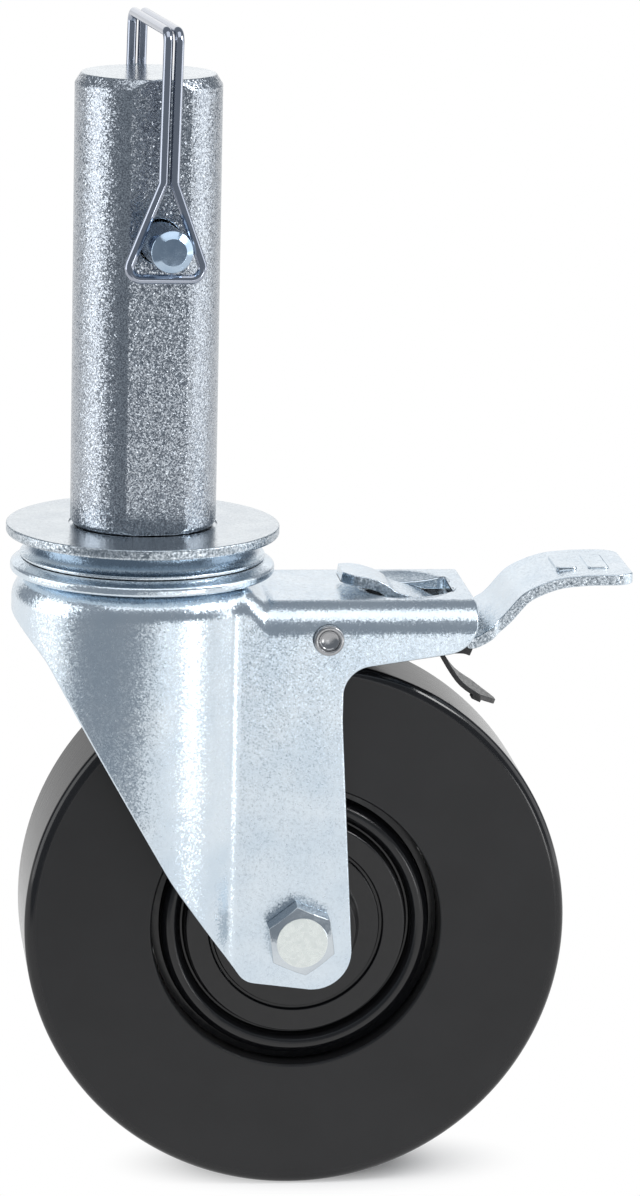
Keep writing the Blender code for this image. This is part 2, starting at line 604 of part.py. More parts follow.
def make_wheel(rubber, nylon, steel):
    """Tyre, hub and the roller cage in its bore, about the axle."""
    face = WHEEL_HALF_WIDTH
    tread = []
    for step in range(4):
        turn = math.radians(30) * step
        tread.append((WHEEL_RADIUS - TYRE_EDGE * (1 - math.sin(turn)),
                      face - TYRE_EDGE * (1 - math.cos(turn))))
    half = [(TYRE_BORE, face - 1.6 * MM), (TYRE_BORE + 0.5 * MM, face - 0.5 * MM),
            (TYRE_BORE + 1.7 * MM, face)] + tread
    axle = at(AXLE_OFFSET, 0, AXLE_Z)
    tyre = add_object("tyre", turned(mirrored_profile(half), WHEEL_STEPS, ring=True), rubber)
    tyre.matrix_world = axle @ ALONG_Y

    seat = TYRE_BORE - SEAT_GAP
    hub_half = [(HUB_BORE, face + 2.9 * MM), (HUB_BOSS_RADIUS, face + 2.9 * MM),
                (HUB_BOSS_RADIUS + 1.2 * MM, face - 0.8 * MM), (HUB_RING_INNER - 0.5 * MM, face - 0.8 * MM),
                (HUB_RING_INNER, face - 4.4 * MM), (HUB_RING_INNER + 0.9 * MM, face - 4.4 * MM),
                (HUB_RING_INNER + 2.3 * MM, face - 1.1 * MM), (HUB_RING_OUTER - 0.8 * MM, face - 1.1 * MM),
                (HUB_RING_OUTER, face - 5.0 * MM), (seat, face - 5.4 * MM)]
    hub = add_object("hub", turned(mirrored_profile(hub_half), WHEEL_STEPS, ring=True), nylon)
    hub.matrix_world = axle @ ALONG_Y

    cage_out = HUB_BORE - SEAT_GAP
    cage_in = SLEEVE_RADIUS + RUN_GAP
    cage_half = face + 2.0 * MM
    cage = add_object("roller_cage", tube(cage_out - 0.6 * MM, cage_in + 0.6 * MM, -cage_half, cage_half, 32),
                      steel)
    roller_radius = (cage_out - cage_in) / 2
    rollers = bmesh.new()
    for index in range(ROLLER_COUNT):
        turn = math.tau * index / ROLLER_COUNT
        spot = Vector((math.cos(turn), math.sin(turn), 0)) * (cage_in + roller_radius)
        bmesh.ops.create_cone(rollers, cap_ends=True, segments=12, radius1=roller_radius,
                              radius2=roller_radius, depth=2 * (cage_half - 3 * MM),
                              matrix=Matrix.Translation(spot))
    mesh = bpy.data.meshes.new("rollers")
    rollers.to_mesh(mesh)
    rollers.free()
    combine(cage, tool_object(mesh), "UNION")
    cage.matrix_world = axle @ ALONG_Y


def make_axle(steel, zinc):
    """Bolt, locknut, sleeve between the legs and a dust cap each side."""
    axle = at(AXLE_OFFSET, 0, AXLE_Z) @ ALONG_Y
    head_base = LEG_HALF_WIDTH + SEAT_GAP
    head = hexagon(BOLT_ACROSS_FLATS, head_base, head_base + BOLT_HEAD, share=0.82)
    bolt = add_object("axle_bolt", head, steel)
    shank_end = -(head_base + LOCKNUT_HEIGHT + 2.0 * MM)
    shank = turned([(0, head_base + MM), (BOLT_RADIUS, head_base + MM), (BOLT_RADIUS, shank_end + 0.8 * MM),
                    (BOLT_RADIUS - 0.8 * MM, shank_end), (0, shank_end)], 24)
    combine(bolt, tool_object(shank), "UNION")
    bolt.matrix_world = axle @ Matrix.Rotation(math.radians(90) + BOLT_HEAD_TURN, 4, "Z")

    nut = hexagon(BOLT_ACROSS_FLATS, head_base, head_base + LOCKNUT_HEIGHT - 1.6 * MM,
                  BOLT_RADIUS + SEAT_GAP, share=0.95)
    locknut = add_object("axle_nut", nut, zinc)
    collar_base = head_base + LOCKNUT_HEIGHT - 2.2 * MM
    collar = tube(BOLT_ACROSS_FLATS / 2 - 0.6 * MM, BOLT_RADIUS + SEAT_GAP, collar_base,
                  head_base + LOCKNUT_HEIGHT, 24)
    combine(locknut, tool_object(collar), "UNION")
    locknut.matrix_world = axle @ Matrix.Rotation(math.pi, 4, "X")

    sleeve_half = LEG_INNER - SEAT_GAP
    sleeve = add_object("axle_sleeve", tube(SLEEVE_RADIUS, BOLT_RADIUS + SEAT_GAP, -sleeve_half, sleeve_half),
                        zinc)
    sleeve.matrix_world = axle

    cap_low = WHEEL_HALF_WIDTH + 2.0 * MM + SEAT_GAP
    for name, flip in (("dust_cap_front", Matrix()), ("dust_cap_rear", Matrix.Rotation(math.pi, 4, "X"))):
        inner = SLEEVE_RADIUS + SEAT_GAP
        lip = HUB_BORE - RUN_GAP
        out = WHEEL_HALF_WIDTH + 2.9 * MM + SEAT_GAP
        top = LEG_INNER - SEAT_GAP
        profile = [(inner, top), (CAP_RADIUS, top), (CAP_RADIUS, out), (lip, out), (lip, cap_low),
                   (inner, cap_low)]
        cap = add_object(name, turned(profile, 28, ring=True), zinc)
        cap.matrix_world = axle @ flip


def make_rivet(look):
    """Tubular rivet across the arm, its rolled heads dished in the middle."""
    head_base = LEG_HALF_WIDTH + SEAT_GAP
    half = [(0, head_base + 0.2 * MM), (RIVET_HEAD_RADIUS - 1.6 * MM, head_base + 0.2 * MM),
            (RIVET_HEAD_RADIUS - 1.1 * MM, head_base + RIVET_HEAD),
            (RIVET_HEAD_RADIUS - 0.4 * MM, head_base + RIVET_HEAD),
            (RIVET_HEAD_RADIUS, head_base + 0.5 * MM), (RIVET_HEAD_RADIUS, head_base),
            (RIVET_RADIUS, head_base)]
    rivet = add_object("brake_rivet", turned(mirrored_profile(half), 20), look)
    rivet.matrix_world = at(RIVET_X, 0, RIVET_Z) @ ALONG_Y
    return rivet


def make_fulcrum(look):
    """Cross bar under the window that the lever rocks on, its ends coned to fit the arm's bend."""
    half = LEG_INNER - 1.1 * MM
    cone = 1.1 * MM
    profile = [(0, half), (FULCRUM_RADIUS - cone, half), (FULCRUM_RADIUS, half - cone)]
    bar = add_object("fulcrum_bar", turned(mirrored_profile(profile), 20), look)
    bar.matrix_world = at(FULCRUM_X, 0, FULCRUM_Z) @ ALONG_Y
    return bar


def lever_low():
    """Height of the lever's upper face where its pedal starts to climb."""
    return RIVET_Z - 1.4 * MM


def lever_line():
    """Upper face of the brake lever, from the release tongue to the pedal's tip.

    Each stretch is given as shares of its own length and of its own fall or climb.
    """
    tongue = ARM_TOP + TONGUE_RISE
    low = lever_low()
    pedal = ARM_TOP + PEDAL_RISE
    points = []
    for along, fall in ((0.0, 0.0), (0.19, 0.08), (0.367, 0.17), (0.563, 0.36), (0.684, 0.57), (0.78, 0.78)):
        points.append((TONGUE_TIP_X + along * (FULCRUM_X - TONGUE_TIP_X), tongue - fall * (tongue - KNEE_Z)))
    for along, fall in ((0.03, 0.0), (0.333, 0.2), (0.63, 0.56), (0.896, 1.0)):
        points.append((FULCRUM_X + along * (ARM_END - FULCRUM_X), KNEE_Z - fall * (KNEE_Z - low)))
    for along, climb in ((0.035, 0.035), (0.108, 0.17), (0.189, 0.36), (0.297, 0.676), (0.405, 0.835),
                         (0.53, 0.944), (0.654, 0.985), (0.784, 1.0), (1.0, 1.0)):
        points.append((ARM_END + along * (PEDAL_TIP_X - ARM_END), low + climb * (pedal - low)))
    return smooth_line(points, 3)


def make_lever(look):
    """Brake lever: release tongue over the arm, knee through the window, pedal at the rear."""
    wide = PEDAL_ROOT_HALF_WIDTH + 2 * MM
    line = lever_line()
    lever = add_object("brake_lever", extruded(strip(line, LEVER_SHEET), -wide, wide), look)
    root = WINDOW_REAR + 0.6 * MM
    step = ARM_END + PEDAL_ROOT_LENGTH
    half = [(TONGUE_TIP_X - 2 * MM, 0), (TONGUE_TIP_X - 0.2 * MM, TONGUE_HALF_WIDTH - 2.6 * MM),
            (TONGUE_TIP_X + 2.6 * MM, TONGUE_HALF_WIDTH), (FULCRUM_X + 5 * MM, TONGUE_HALF_WIDTH),
            (root - 1 * MM, PEDAL_HALF_WIDTH - 3 * MM), (root + 2 * MM, PEDAL_ROOT_HALF_WIDTH),
            (step - 1.2 * MM, PEDAL_ROOT_HALF_WIDTH), (step, PEDAL_HALF_WIDTH),
            (PEDAL_TIP_X - PEDAL_CORNER, PEDAL_HALF_WIDTH),
            (PEDAL_TIP_X - 0.35 * PEDAL_CORNER, PEDAL_HALF_WIDTH - 0.15 * PEDAL_CORNER),
            (PEDAL_TIP_X - 0.06 * PEDAL_CORNER, PEDAL_HALF_WIDTH - 0.45 * PEDAL_CORNER),
            (PEDAL_TIP_X + 0.2 * MM, PEDAL_HALF_WIDTH - PEDAL_CORNER), (PEDAL_TIP_X + 0.4 * MM, 0)]
    plan = half + [(x, -y) for x, y in reversed(half[1:-1])]
    combine(lever, tool_object(extruded(plan, AXLE_Z, STEM_LENGTH, "Z")), "INTERSECT")

    ear_radius = FULCRUM_RADIUS + 2.0 * MM
    for side in (-1, 1):
        near, far = sorted((side * TONGUE_HALF_WIDTH, side * (TONGUE_HALF_WIDTH - 2 * MM)))
        ear = [(ear_radius * math.cos(math.radians(turn)), ear_radius * math.sin(math.radians(turn)))
               for turn in range(180, 361, 20)]
        top = KNEE_Z - 0.8 * LEVER_SHEET - FULCRUM_Z
        outline = [(x + FULCRUM_X, z + FULCRUM_Z) for x, z in ear + [(ear_radius, top * 0.8),
                                                                     (-ear_radius, top)]]
        combine(lever, tool_object(extruded(outline, near, far)), "UNION")
    hole = rod(FULCRUM_RADIUS + RUN_GAP * 0.6, -wide, wide, 20)
    combine(lever, tool_object(hole, at(FULCRUM_X, 0, FULCRUM_Z) @ ALONG_Y), "DIFFERENCE")

    pedal_top = ARM_TOP + PEDAL_RISE
    for share in (0.54, 0.74):
        front = ARM_END + share * (PEDAL_TIP_X - ARM_END)
        rear = front + PAD_LENGTH
        pad = rounded([(front, -PAD_HALF_WIDTH, MM), (rear, -PAD_HALF_WIDTH, MM),
                       (rear, PAD_HALF_WIDTH, MM), (front, PAD_HALF_WIDTH, MM)])
        combine(lever, tool_object(extruded(pad, pedal_top - 1.5 * MM, pedal_top + PAD_RISE, "Z")), "UNION")
    lever.data.shade_smooth()
    lever.data.set_sharp_from_angle(angle=math.radians(32))
    return lever


def make_shoe(look):
    """Brake shoe: eye round the rivet, nose under the lever and a toothed tail over the tread."""
    eye = RIVET_RADIUS + RUN_GAP + EYE_WALL
    nose = lever_low() - LEVER_SHEET - SEAT_GAP
    leaf_top = smooth_line([
        (RIVET_X + 1.0 * MM, RIVET_Z + eye - 0.3 * MM), (RIVET_X + 6.0 * MM, RIVET_Z + 0.6 * MM),
        (RIVET_X + 14.0 * MM, nose), (FULCRUM_X + 1.0 * MM, nose - 0.7 * MM),
        (WINDOW_REAR - 1.2 * MM, nose), (ARM_END - 1.6 * MM, nose), (ARM_END + 0.3 * MM, nose - 0.6 * MM)], 3)
    shoe = add_object("brake_shoe", extruded(strip(leaf_top, SHOE_SHEET), -SHOE_HALF_WIDTH, SHOE_HALF_WIDTH),
                      look)
    barrel = rod(eye, -SHOE_HALF_WIDTH, SHOE_HALF_WIDTH, 24)
    pivot = at(RIVET_X, 0, RIVET_Z) @ ALONG_Y
    combine(shoe, tool_object(barrel, pivot), "UNION")
    root = ARM_END - TAIL_ROOT
    length = TAIL_ROOT + TAIL_REACH
    tail = smooth_line([(root + along * length, nose - drop * TAIL_DROP) for along, drop in (
        (0.0, 0.04), (0.1, 0.2), (0.23, 0.41), (0.41, 0.634), (0.68, 0.817), (1.0, 1.0))], 3)
    blade = tool_object(extruded(strip(tail, TAIL_SHEET), -TAIL_HALF_WIDTH, TAIL_HALF_WIDTH))
    tooth_x = root + 0.56 * length
    tooth_z = nose - 0.78 * TAIL_DROP
    tooth = [(tooth_x, tooth_z), (tooth_x + 2.6 * MM, tooth_z - 1.4 * MM),
             (tooth_x + 1.8 * MM, tooth_z - 2.6 * MM), (tooth_x - 0.3 * MM, tooth_z - 1.9 * MM)]
    for near, far in ((-TAIL_HALF_WIDTH, -TAIL_HALF_WIDTH + 3 * MM), (TAIL_HALF_WIDTH - 3 * MM, TAIL_HALF_WIDTH)):
        combine(blade, tool_object(extruded(tooth, near, far)), "UNION")
    shoulder = root + 0.68 * length
    tip = [(FULCRUM_X, -TAIL_HALF_WIDTH - MM), (shoulder, -TAIL_HALF_WIDTH - MM), (shoulder, -TAIL_HALF_WIDTH),
           (root + length, -1 * MM), (root + length, 1 * MM),
           (shoulder, TAIL_HALF_WIDTH), (shoulder, TAIL_HALF_WIDTH + MM), (FULCRUM_X, TAIL_HALF_WIDTH + MM)]
    combine(blade, tool_object(extruded(tip, AXLE_Z, 0.0, "Z")), "INTERSECT")
    combine(shoe, blade, "UNION")
    bore = rod(RIVET_RADIUS + RUN_GAP, -2 * SHOE_HALF_WIDTH, 2 * SHOE_HALF_WIDTH, 24)
    combine(shoe, tool_object(bore, pivot), "DIFFERENCE")
    shoe.data.shade_smooth()
    shoe.data.set_sharp_from_angle(angle=math.radians(32))
    return shoe


def make_wire(name, points, radius, look):
    """A round wire along 3-D points."""
    curve = bpy.data.curves.new(name, "CURVE")
    curve.dimensions = "3D"
    curve.bevel_depth = radius
    curve.bevel_resolution = 2
    curve.use_fill_caps = True
    spline = curve.splines.new("POLY")
    spline.points.add(len(points) - 1)
    for spot, point in zip(spline.points, points):
        spot.co = (*point, 1.0)
    curve.materials.append(look)
    wire = bpy.data.objects.new(name, curve)
    bpy.context.scene.collection.objects.link(wire)
    return wire


def bent(points, radius, count=3):
    """Round the inner corners of a 3-D path with arcs."""
    path = [Vector(points[0])]
    for before, here, after in zip(points, points[1:], points[2:]):
        corner = Vector(here)
        back = (Vector(before) - corner).normalized()
        ahead = (Vector(after) - corner).normalized()
        half = back.angle(ahead) / 2
        reach = min(radius / math.tan(half), 0.45 * (Vector(before) - corner).length,
                    0.45 * (Vector(after) - corner).length)
        start, end = corner + back * reach, corner + ahead * reach
        for step in range(count + 1):
            t = step / count
            path.append(start * (1 - t) ** 2 + corner * (2 * t * (1 - t)) + end * t ** 2)
    path.append(Vector(points[-1]))
    return path


def make_spring(look):
    """Torsion spring on the rivet that lifts the shoe off the tread."""
    coil = RIVET_RADIUS + SEAT_GAP + SPRING_WIRE
    start_y = SHOE_HALF_WIDTH + SPRING_WIRE + 0.5 * MM
    pitch = 2 * SPRING_WIRE + 0.25 * MM
    per_turn = 12
    points = [Vector((RIVET_X + 9 * MM, start_y, RIVET_Z - coil))]
    for step in range(SPRING_TURNS * per_turn + 1):
        turn = math.radians(-90) - math.tau * step / per_turn
        points.append(Vector((RIVET_X + coil * math.cos(turn), start_y + pitch * step / per_turn,
                              RIVET_Z + coil * math.sin(turn))))
    points.append(Vector((RIVET_X - 8 * MM, start_y + pitch * SPRING_TURNS, RIVET_Z - coil)))
    return make_wire("return_spring", points, SPRING_WIRE, look)


def make_lock_pin(look):
    """Lock pin: chamfered tip in front, a turned neck for the clip at the back."""
    tip_face = PIN_RADIUS - 1.65 * MM
    neck_half = WIRE_RADIUS + SEAT_GAP
    profile = [(0, PIN_FRONT), (tip_face, PIN_FRONT), (PIN_RADIUS, PIN_FRONT - 1.2 * MM),
               (PIN_RADIUS, -CLIP_BACK + neck_half), (PIN_NECK_RADIUS, -CLIP_BACK + neck_half),
               (PIN_NECK_RADIUS, -CLIP_BACK - neck_half), (PIN_RADIUS, -CLIP_BACK - neck_half),
               (PIN_RADIUS, -PIN_BACK + 0.8 * MM), (PIN_RADIUS - 0.8 * MM, -PIN_BACK), (0, -PIN_BACK)]
    pin = add_object("lock_pin", turned(profile, 32), look)
    pin.matrix_world = STEM_FRAME @ at(0, 0, PIN_HEIGHT) @ ALONG_Y
    return pin


def make_clip(look):
    """Wire clip: forked on the pin's neck, up and over the stem, and a loop round the tip."""
    run = WIRE_SPACING / 2
    fork_x = PIN_NECK_RADIUS + SEAT_GAP + WIRE_RADIUS
    half = [(fork_x, CLIP_BACK, -2.0 * MM), (fork_x, CLIP_BACK, 4.0 * MM), (run, CLIP_BACK, 10.0 * MM),
            (run, CLIP_BACK, CLIP_RISE), (run, -CLIP_FRONT, CLIP_RISE), (run, -CLIP_FRONT, CLIP_JUNCTION),
            (LOOP_HALF_WIDTH, -CLIP_FRONT, -CLIP_DROP)]
    path = half + [(-x, y, z) for x, y, z in reversed(half)]
    clip = make_wire("wire_clip", bent(path, WIRE_BEND), WIRE_RADIUS, look)
    lean = Matrix.Rotation(CLIP_LEAN, 4, "Y")
    clip.matrix_world = STEM_FRAME @ at(0, 0, PIN_HEIGHT) @ lean
    return clip


def build():
    clear_scene()
    zinc = finish("zinc_plated_steel", (0.62, 0.67, 0.72), 1.0, 0.38)
    stem_zinc = finish("zinc_plated_bar", (0.52, 0.54, 0.56), 1.0, 0.42)
    bright = finish("bright_steel", (0.72, 0.73, 0.74), 1.0, 0.25)
    hard = finish("hardened_steel", (0.5, 0.5, 0.5), 1.0, 0.3)
    black_steel = finish("blackened_steel", (0.03, 0.03, 0.03), 0.8, 0.45)
    rubber = finish("black_rubber", (0.02, 0.02, 0.021), 0.0, 0.4)
    nylon = finish("black_nylon", (0.03, 0.03, 0.032), 0.0, 0.5)

    make_stem(stem_zinc)
    make_seat_disc(zinc)
    make_upper_race(zinc)
    make_ball_row("upper_balls", UPPER_BALL_COUNT, UPPER_BALL_CIRCLE, UPPER_BALL_Z, hard)
    make_race_ring(zinc)
    make_ball_row("lower_balls", LOWER_BALL_COUNT, LOWER_BALL_CIRCLE, LOWER_BALL_Z, hard)
    make_lower_cup(zinc)
    nut = hexagon(NUT_ACROSS_FLATS, NUT_TOP - NUT_HEIGHT, NUT_TOP, THREAD_RADIUS + SEAT_GAP, share=0.95)
    add_object("kingpin_nut", nut, zinc)
    make_fork(zinc)
    make_wheel(rubber, nylon, hard)
    make_axle(bright, zinc)
    make_rivet(bright)
    make_fulcrum(bright)
    make_lever(zinc)
    make_shoe(black_steel)
    make_spring(black_steel)
    make_lock_pin(bright)
    make_clip(bright)


build()
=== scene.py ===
from math import atan2, cos, pi, radians, sin, sqrt, tan, tau

import bmesh
import bpy
from mathutils import Matrix, Vector


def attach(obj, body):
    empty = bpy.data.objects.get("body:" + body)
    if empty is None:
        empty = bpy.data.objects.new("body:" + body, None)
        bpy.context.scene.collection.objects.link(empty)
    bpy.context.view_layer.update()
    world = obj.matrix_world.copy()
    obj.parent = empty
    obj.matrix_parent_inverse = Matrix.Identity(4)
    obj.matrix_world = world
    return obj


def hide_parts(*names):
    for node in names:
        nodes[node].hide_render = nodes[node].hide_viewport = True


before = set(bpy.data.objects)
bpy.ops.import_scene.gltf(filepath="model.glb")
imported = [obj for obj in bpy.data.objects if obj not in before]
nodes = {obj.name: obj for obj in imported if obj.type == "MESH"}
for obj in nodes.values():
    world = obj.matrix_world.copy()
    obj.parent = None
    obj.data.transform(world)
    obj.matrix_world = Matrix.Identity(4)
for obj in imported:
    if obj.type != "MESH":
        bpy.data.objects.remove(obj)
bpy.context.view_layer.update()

MM = 0.001

# Sizes in metres, the same as the solids'
SEAT_GAP = 0.3 * MM
RUN_GAP = 0.35 * MM
STEM_LENGTH = 103.0 * MM
STEM_RADIUS = 16.65 * MM
STEM_FLAT = 15.2 * MM
STEM_CHAMFER = 1.5 * MM
STEM_CHAMFER_RISE = 2.4 * MM
FOOT_CHAMFER = 0.7 * MM
FOOT_CHAMFER_RISE = 1.1 * MM
STEM_TURN = radians(6.0)
KINGPIN_RADIUS = 7.0 * MM
THREAD_RADIUS = 6.0 * MM
DISC_THICK = 2.4 * MM
SEAT_RECESS = 0.35 * MM
UPPER_RACE_THICK = 2.5 * MM
NECK_DEPTH = 4.7 * MM
LIP_THICK = 0.7 * MM
BALL_RADIUS = 2.5 * MM
LOWER_BALL_CIRCLE = 14.0 * MM
SHEET = 3.0 * MM
CROWN_RADIUS = 29.9 * MM
CROWN_SHOULDER = 6.0 * MM
CREASE_RADIUS = 5.0 * MM
LEG_HALF_WIDTH = 22.7 * MM
CROWN_STEP = 3.55 * MM
ARM_BEND = 7.5 * MM
ARM_END = 75.0 * MM
ARM_DEPTH = 10.45 * MM
ARM_TAPER = 4.6 * MM
CROWN_SKIRT = 8.2 * MM
SKIRT_RUN = 6.9 * MM
SKIRT_FALL = 8.6 * MM
LEG_REAR = 44.4 * MM
LEG_FOOT = 14.6 * MM
LEG_WAIST = 30.0 * MM
LEG_WAIST_RISE = 14.0 * MM
LEG_TOE = 12.6 * MM
LEG_TOE_DROP = 11.3 * MM
LEG_HEEL = 3.9 * MM
KINGPIN_HOLE = 9.0 * MM
WINDOW_FRONT = 51.5 * MM
WINDOW_REAR = 71.2 * MM
WINDOW_HALF_WIDTH = 7.9 * MM
SADDLE_X = 60.5 * MM
SADDLE_DEPTH = 1.6 * MM
SADDLE_HALF_LENGTH = 11.7 * MM
SADDLE_HALF_WIDTH = 15.5 * MM
SADDLE_RISE = 4.4 * MM
WHEEL_RADIUS = 62.5 * MM
WHEEL_HALF_WIDTH = 16.0 * MM
AXLE_X = 35.4 * MM
TREAD_CLEARANCE = 14.65 * MM
TYRE_BORE = 33.4 * MM
HUB_BORE = 10.2 * MM
HUB_BOSS_RADIUS = 13.5 * MM
HUB_RING_OUTER = 31.0 * MM
HUB_RING_INNER = 25.9 * MM
BOLT_RADIUS = 4.75 * MM
BOLT_PITCH = 1.6 * MM
BOLT_ACROSS_FLATS = 14.2 * MM
BOLT_HEAD = 6.2 * MM
BOLT_HEAD_TURN = radians(98.0)
LOCKNUT_HEIGHT = 8.0 * MM
SLEEVE_RADIUS = 6.35 * MM
ROLLER_COUNT = 8
RIVET_X = 40.7 * MM
RIVET_DROP = 7.75 * MM
RIVET_RADIUS = 2.9 * MM
RIVET_HEAD_RADIUS = 3.5 * MM
FULCRUM_X = 61.5 * MM
FULCRUM_RADIUS = 2.0 * MM
LEVER_SHEET = 2.5 * MM
TONGUE_TIP_X = 45.7 * MM
TONGUE_RISE = 4.0 * MM
TONGUE_HALF_WIDTH = 7.2 * MM
KNEE_DROP = 1.45 * MM
PEDAL_HALF_WIDTH = 14.0 * MM
PEDAL_ROOT_HALF_WIDTH = 15.2 * MM
PEDAL_ROOT_LENGTH = 5.9 * MM
PEDAL_TIP_X = 112.0 * MM
PEDAL_RISE = 5.1 * MM
PEDAL_CORNER = 5.0 * MM
PAD_RISE = 0.3 * MM
PAD_LENGTH = 4.8 * MM
PAD_HALF_WIDTH = 6.8 * MM
SHOE_SHEET = 1.8 * MM
EYE_WALL = 1.15 * MM
SHOE_HALF_WIDTH = 12.0 * MM
TAIL_SHEET = 1.1 * MM
TAIL_HALF_WIDTH = 7.5 * MM
TAIL_REACH = 7.6 * MM
TAIL_DROP = 15.3 * MM
TAIL_ROOT = 7.0 * MM
PIN_HEIGHT = 67.0 * MM
PIN_RADIUS = 4.7 * MM
PIN_FRONT = 32.0 * MM
PIN_BACK = 24.5 * MM
PIN_NECK_RADIUS = 2.7 * MM
WIRE_RADIUS = 1.1 * MM
WIRE_SPACING = 2.5 * MM
WIRE_BEND = 2.6 * MM
CLIP_FRONT = 24.0 * MM
CLIP_BACK = 20.0 * MM
CLIP_CLEARANCE = 11.5 * MM
CLIP_JUNCTION = 14.2 * MM
CLIP_DROP = 7.1 * MM
LOOP_HALF_WIDTH = 9.4 * MM
CLIP_LEAN = radians(1.2)

# Radii and heights that follow, with the seat disc's top face at zero
RING_RADIUS = CROWN_RADIUS + 0.35 * MM
DISC_RADIUS = RING_RADIUS + 1.0 * MM
LIP_RADIUS = RING_RADIUS - 2.2 * MM
NECK_RADIUS = LIP_RADIUS - 2.55 * MM
UPPER_BALL_CIRCLE = NECK_RADIUS - 4.0 * MM
NECK_TOP = -DISC_THICK - SEAT_GAP
LIP_UNDER = NECK_TOP - NECK_DEPTH
RACE_UNDER = NECK_TOP - UPPER_RACE_THICK
UPPER_BALL_Z = RACE_UNDER - 2.3 * MM
RING_BASE = UPPER_BALL_Z - BALL_RADIUS - SEAT_GAP - 0.7 * MM
CROWN_TOP = RING_BASE - SEAT_GAP
ARM_TOP = CROWN_TOP - CROWN_STEP
LOWER_BALL_Z = CROWN_TOP - SHEET - SEAT_GAP - BALL_RADIUS
THREAD_TOP = LOWER_BALL_Z - BALL_RADIUS - SEAT_GAP
KINGPIN_END = THREAD_TOP - 9.8 * MM
AXLE_Z = ARM_TOP - TREAD_CLEARANCE - WHEEL_RADIUS
RIVET_Z = ARM_TOP - RIVET_DROP
KNEE_Z = ARM_TOP - KNEE_DROP
FULCRUM_Z = KNEE_Z - LEVER_SHEET - FULCRUM_RADIUS - SEAT_GAP
LEVER_LOW = RIVET_Z - 1.4 * MM
HEAD_BASE = LEG_HALF_WIDTH + SEAT_GAP
CLIP_RISE = STEM_LENGTH - PIN_HEIGHT + CLIP_CLEARANCE
FLOOR_Z = AXLE_Z - WHEEL_RADIUS



def across(x, z):
    """The frame of a piece that is modelled upright and lies along -Y through a point."""
    return Matrix.Translation((x, 0, z)) @ Matrix.Rotation(radians(90), 4, "X")


STEM_FRAME = Matrix.Rotation(STEM_TURN, 4, "Z")
PIN_BORE = across(0, PIN_HEIGHT)
AXLE_FRAME = across(AXLE_X, AXLE_Z)
RIVET_FRAME = across(RIVET_X, RIVET_Z)
FULCRUM_FRAME = across(FULCRUM_X, FULCRUM_Z)


# Materials

def linear(colour):
    """sRGB hex to linear RGBA."""
    parts = [int(colour[i:i + 2], 16) / 255 for i in (1, 3, 5)]
    return tuple(c / 12.92 if c <= 0.04045 else ((c + 0.055) / 1.055) ** 2.4 for c in parts) + (1.0,)


def feed(tree, node, inputs):
    """Set inputs; each takes a value, a node's output, or a node for its first output."""
    for key, value in inputs.items():
        if isinstance(value, bpy.types.Node):
            value = value.outputs[0]
        if isinstance(value, bpy.types.NodeSocket):
            tree.links.new(value, node.inputs[key])
        else:
            node.inputs[key].default_value = value


def add(tree, kind, inputs=None, **settings):
    """Add a node with its settings and inputs."""
    node = tree.nodes.new(kind)
    for name, value in settings.items():
        setattr(node, name, value)
    feed(tree, node, inputs or {})
    return node


def new_material(name, colour, roughness, metallic=0.0):
    """A material with its shader and Object coordinates, ready for its pattern."""
    made = bpy.data.materials.new(name)
    made.use_nodes = True
    tree = made.node_tree
    shader = tree.nodes["Principled BSDF"]
    feed(tree, shader, {"Base Color": linear(colour), "Roughness": roughness, "Metallic": metallic})
    made.diffuse_color = linear(colour)
    place = add(tree, "ShaderNodeTexCoord").outputs["Object"]
    return made, tree, shader, place


def grain(tree, place, size, detail=2.0):
    """Noise whose lumps are about a size in metres."""
    return add(tree, "ShaderNodeTexNoise", {"Vector": place, "Scale": 1.0 / size, "Detail": detail})


def ramp(tree, value, low, high, start=0.3, end=0.7):
    """Map a value between two limits."""
    return add(tree, "ShaderNodeMapRange", {"Value": value, "From Min": start, "From Max": end,
                                            "To Min": low, "To Max": high})


def vector(tree, operation, first, second=(0, 0, 0)):
    """One step of vector arithmetic."""
    step = add(tree, "ShaderNodeVectorMath", {0: first, 1: second}, operation=operation)
    return step.outputs["Value" if operation == "LENGTH" else "Vector"]


def two_tone(tree, shader, value, first, second):
    """Blend the base colour between two hex colours."""
    mix = add(tree, "ShaderNodeMix", {"Factor": value}, data_type="RGBA")
    first_socket, second_socket = [socket for socket in mix.inputs if socket.type == "RGBA"]
    first_socket.default_value = linear(first)
    second_socket.default_value = linear(second)
    result = [socket for socket in mix.outputs if socket.type == "RGBA"][0]
    feed(tree, shader, {"Base Color": result})


def worn(tree, shader, place, size, smooth, rough):
    """Let the roughness wander between two limits, in patches of a size."""
    feed(tree, shader, {"Roughness": ramp(tree, grain(tree, place, size), smooth, rough)})


def crystals(tree, place, size, tilt):
    """Normals tilted a little, crystal by crystal, as plated zinc grows."""
    crystal = add(tree, "ShaderNodeTexVoronoi", {"Vector": place, "Scale": 1.0 / size}).outputs["Color"]
    lean = vector(tree, "MULTIPLY", vector(tree, "SUBTRACT", crystal, (0.5, 0.5, 0.5)), (tilt, tilt, tilt))
    normal = add(tree, "ShaderNodeNewGeometry").outputs["Normal"]
    return vector(tree, "NORMALIZE", vector(tree, "ADD", lean, normal))


def relief(tree, height, depth, normal=None):
    """Normals of a height pattern whose full depth is in metres."""
    bump = add(tree, "ShaderNodeBump", {"Height": height, "Distance": depth, "Strength": 1.0})
    feed(tree, bump, {"Normal": normal} if normal else {})
    return bump


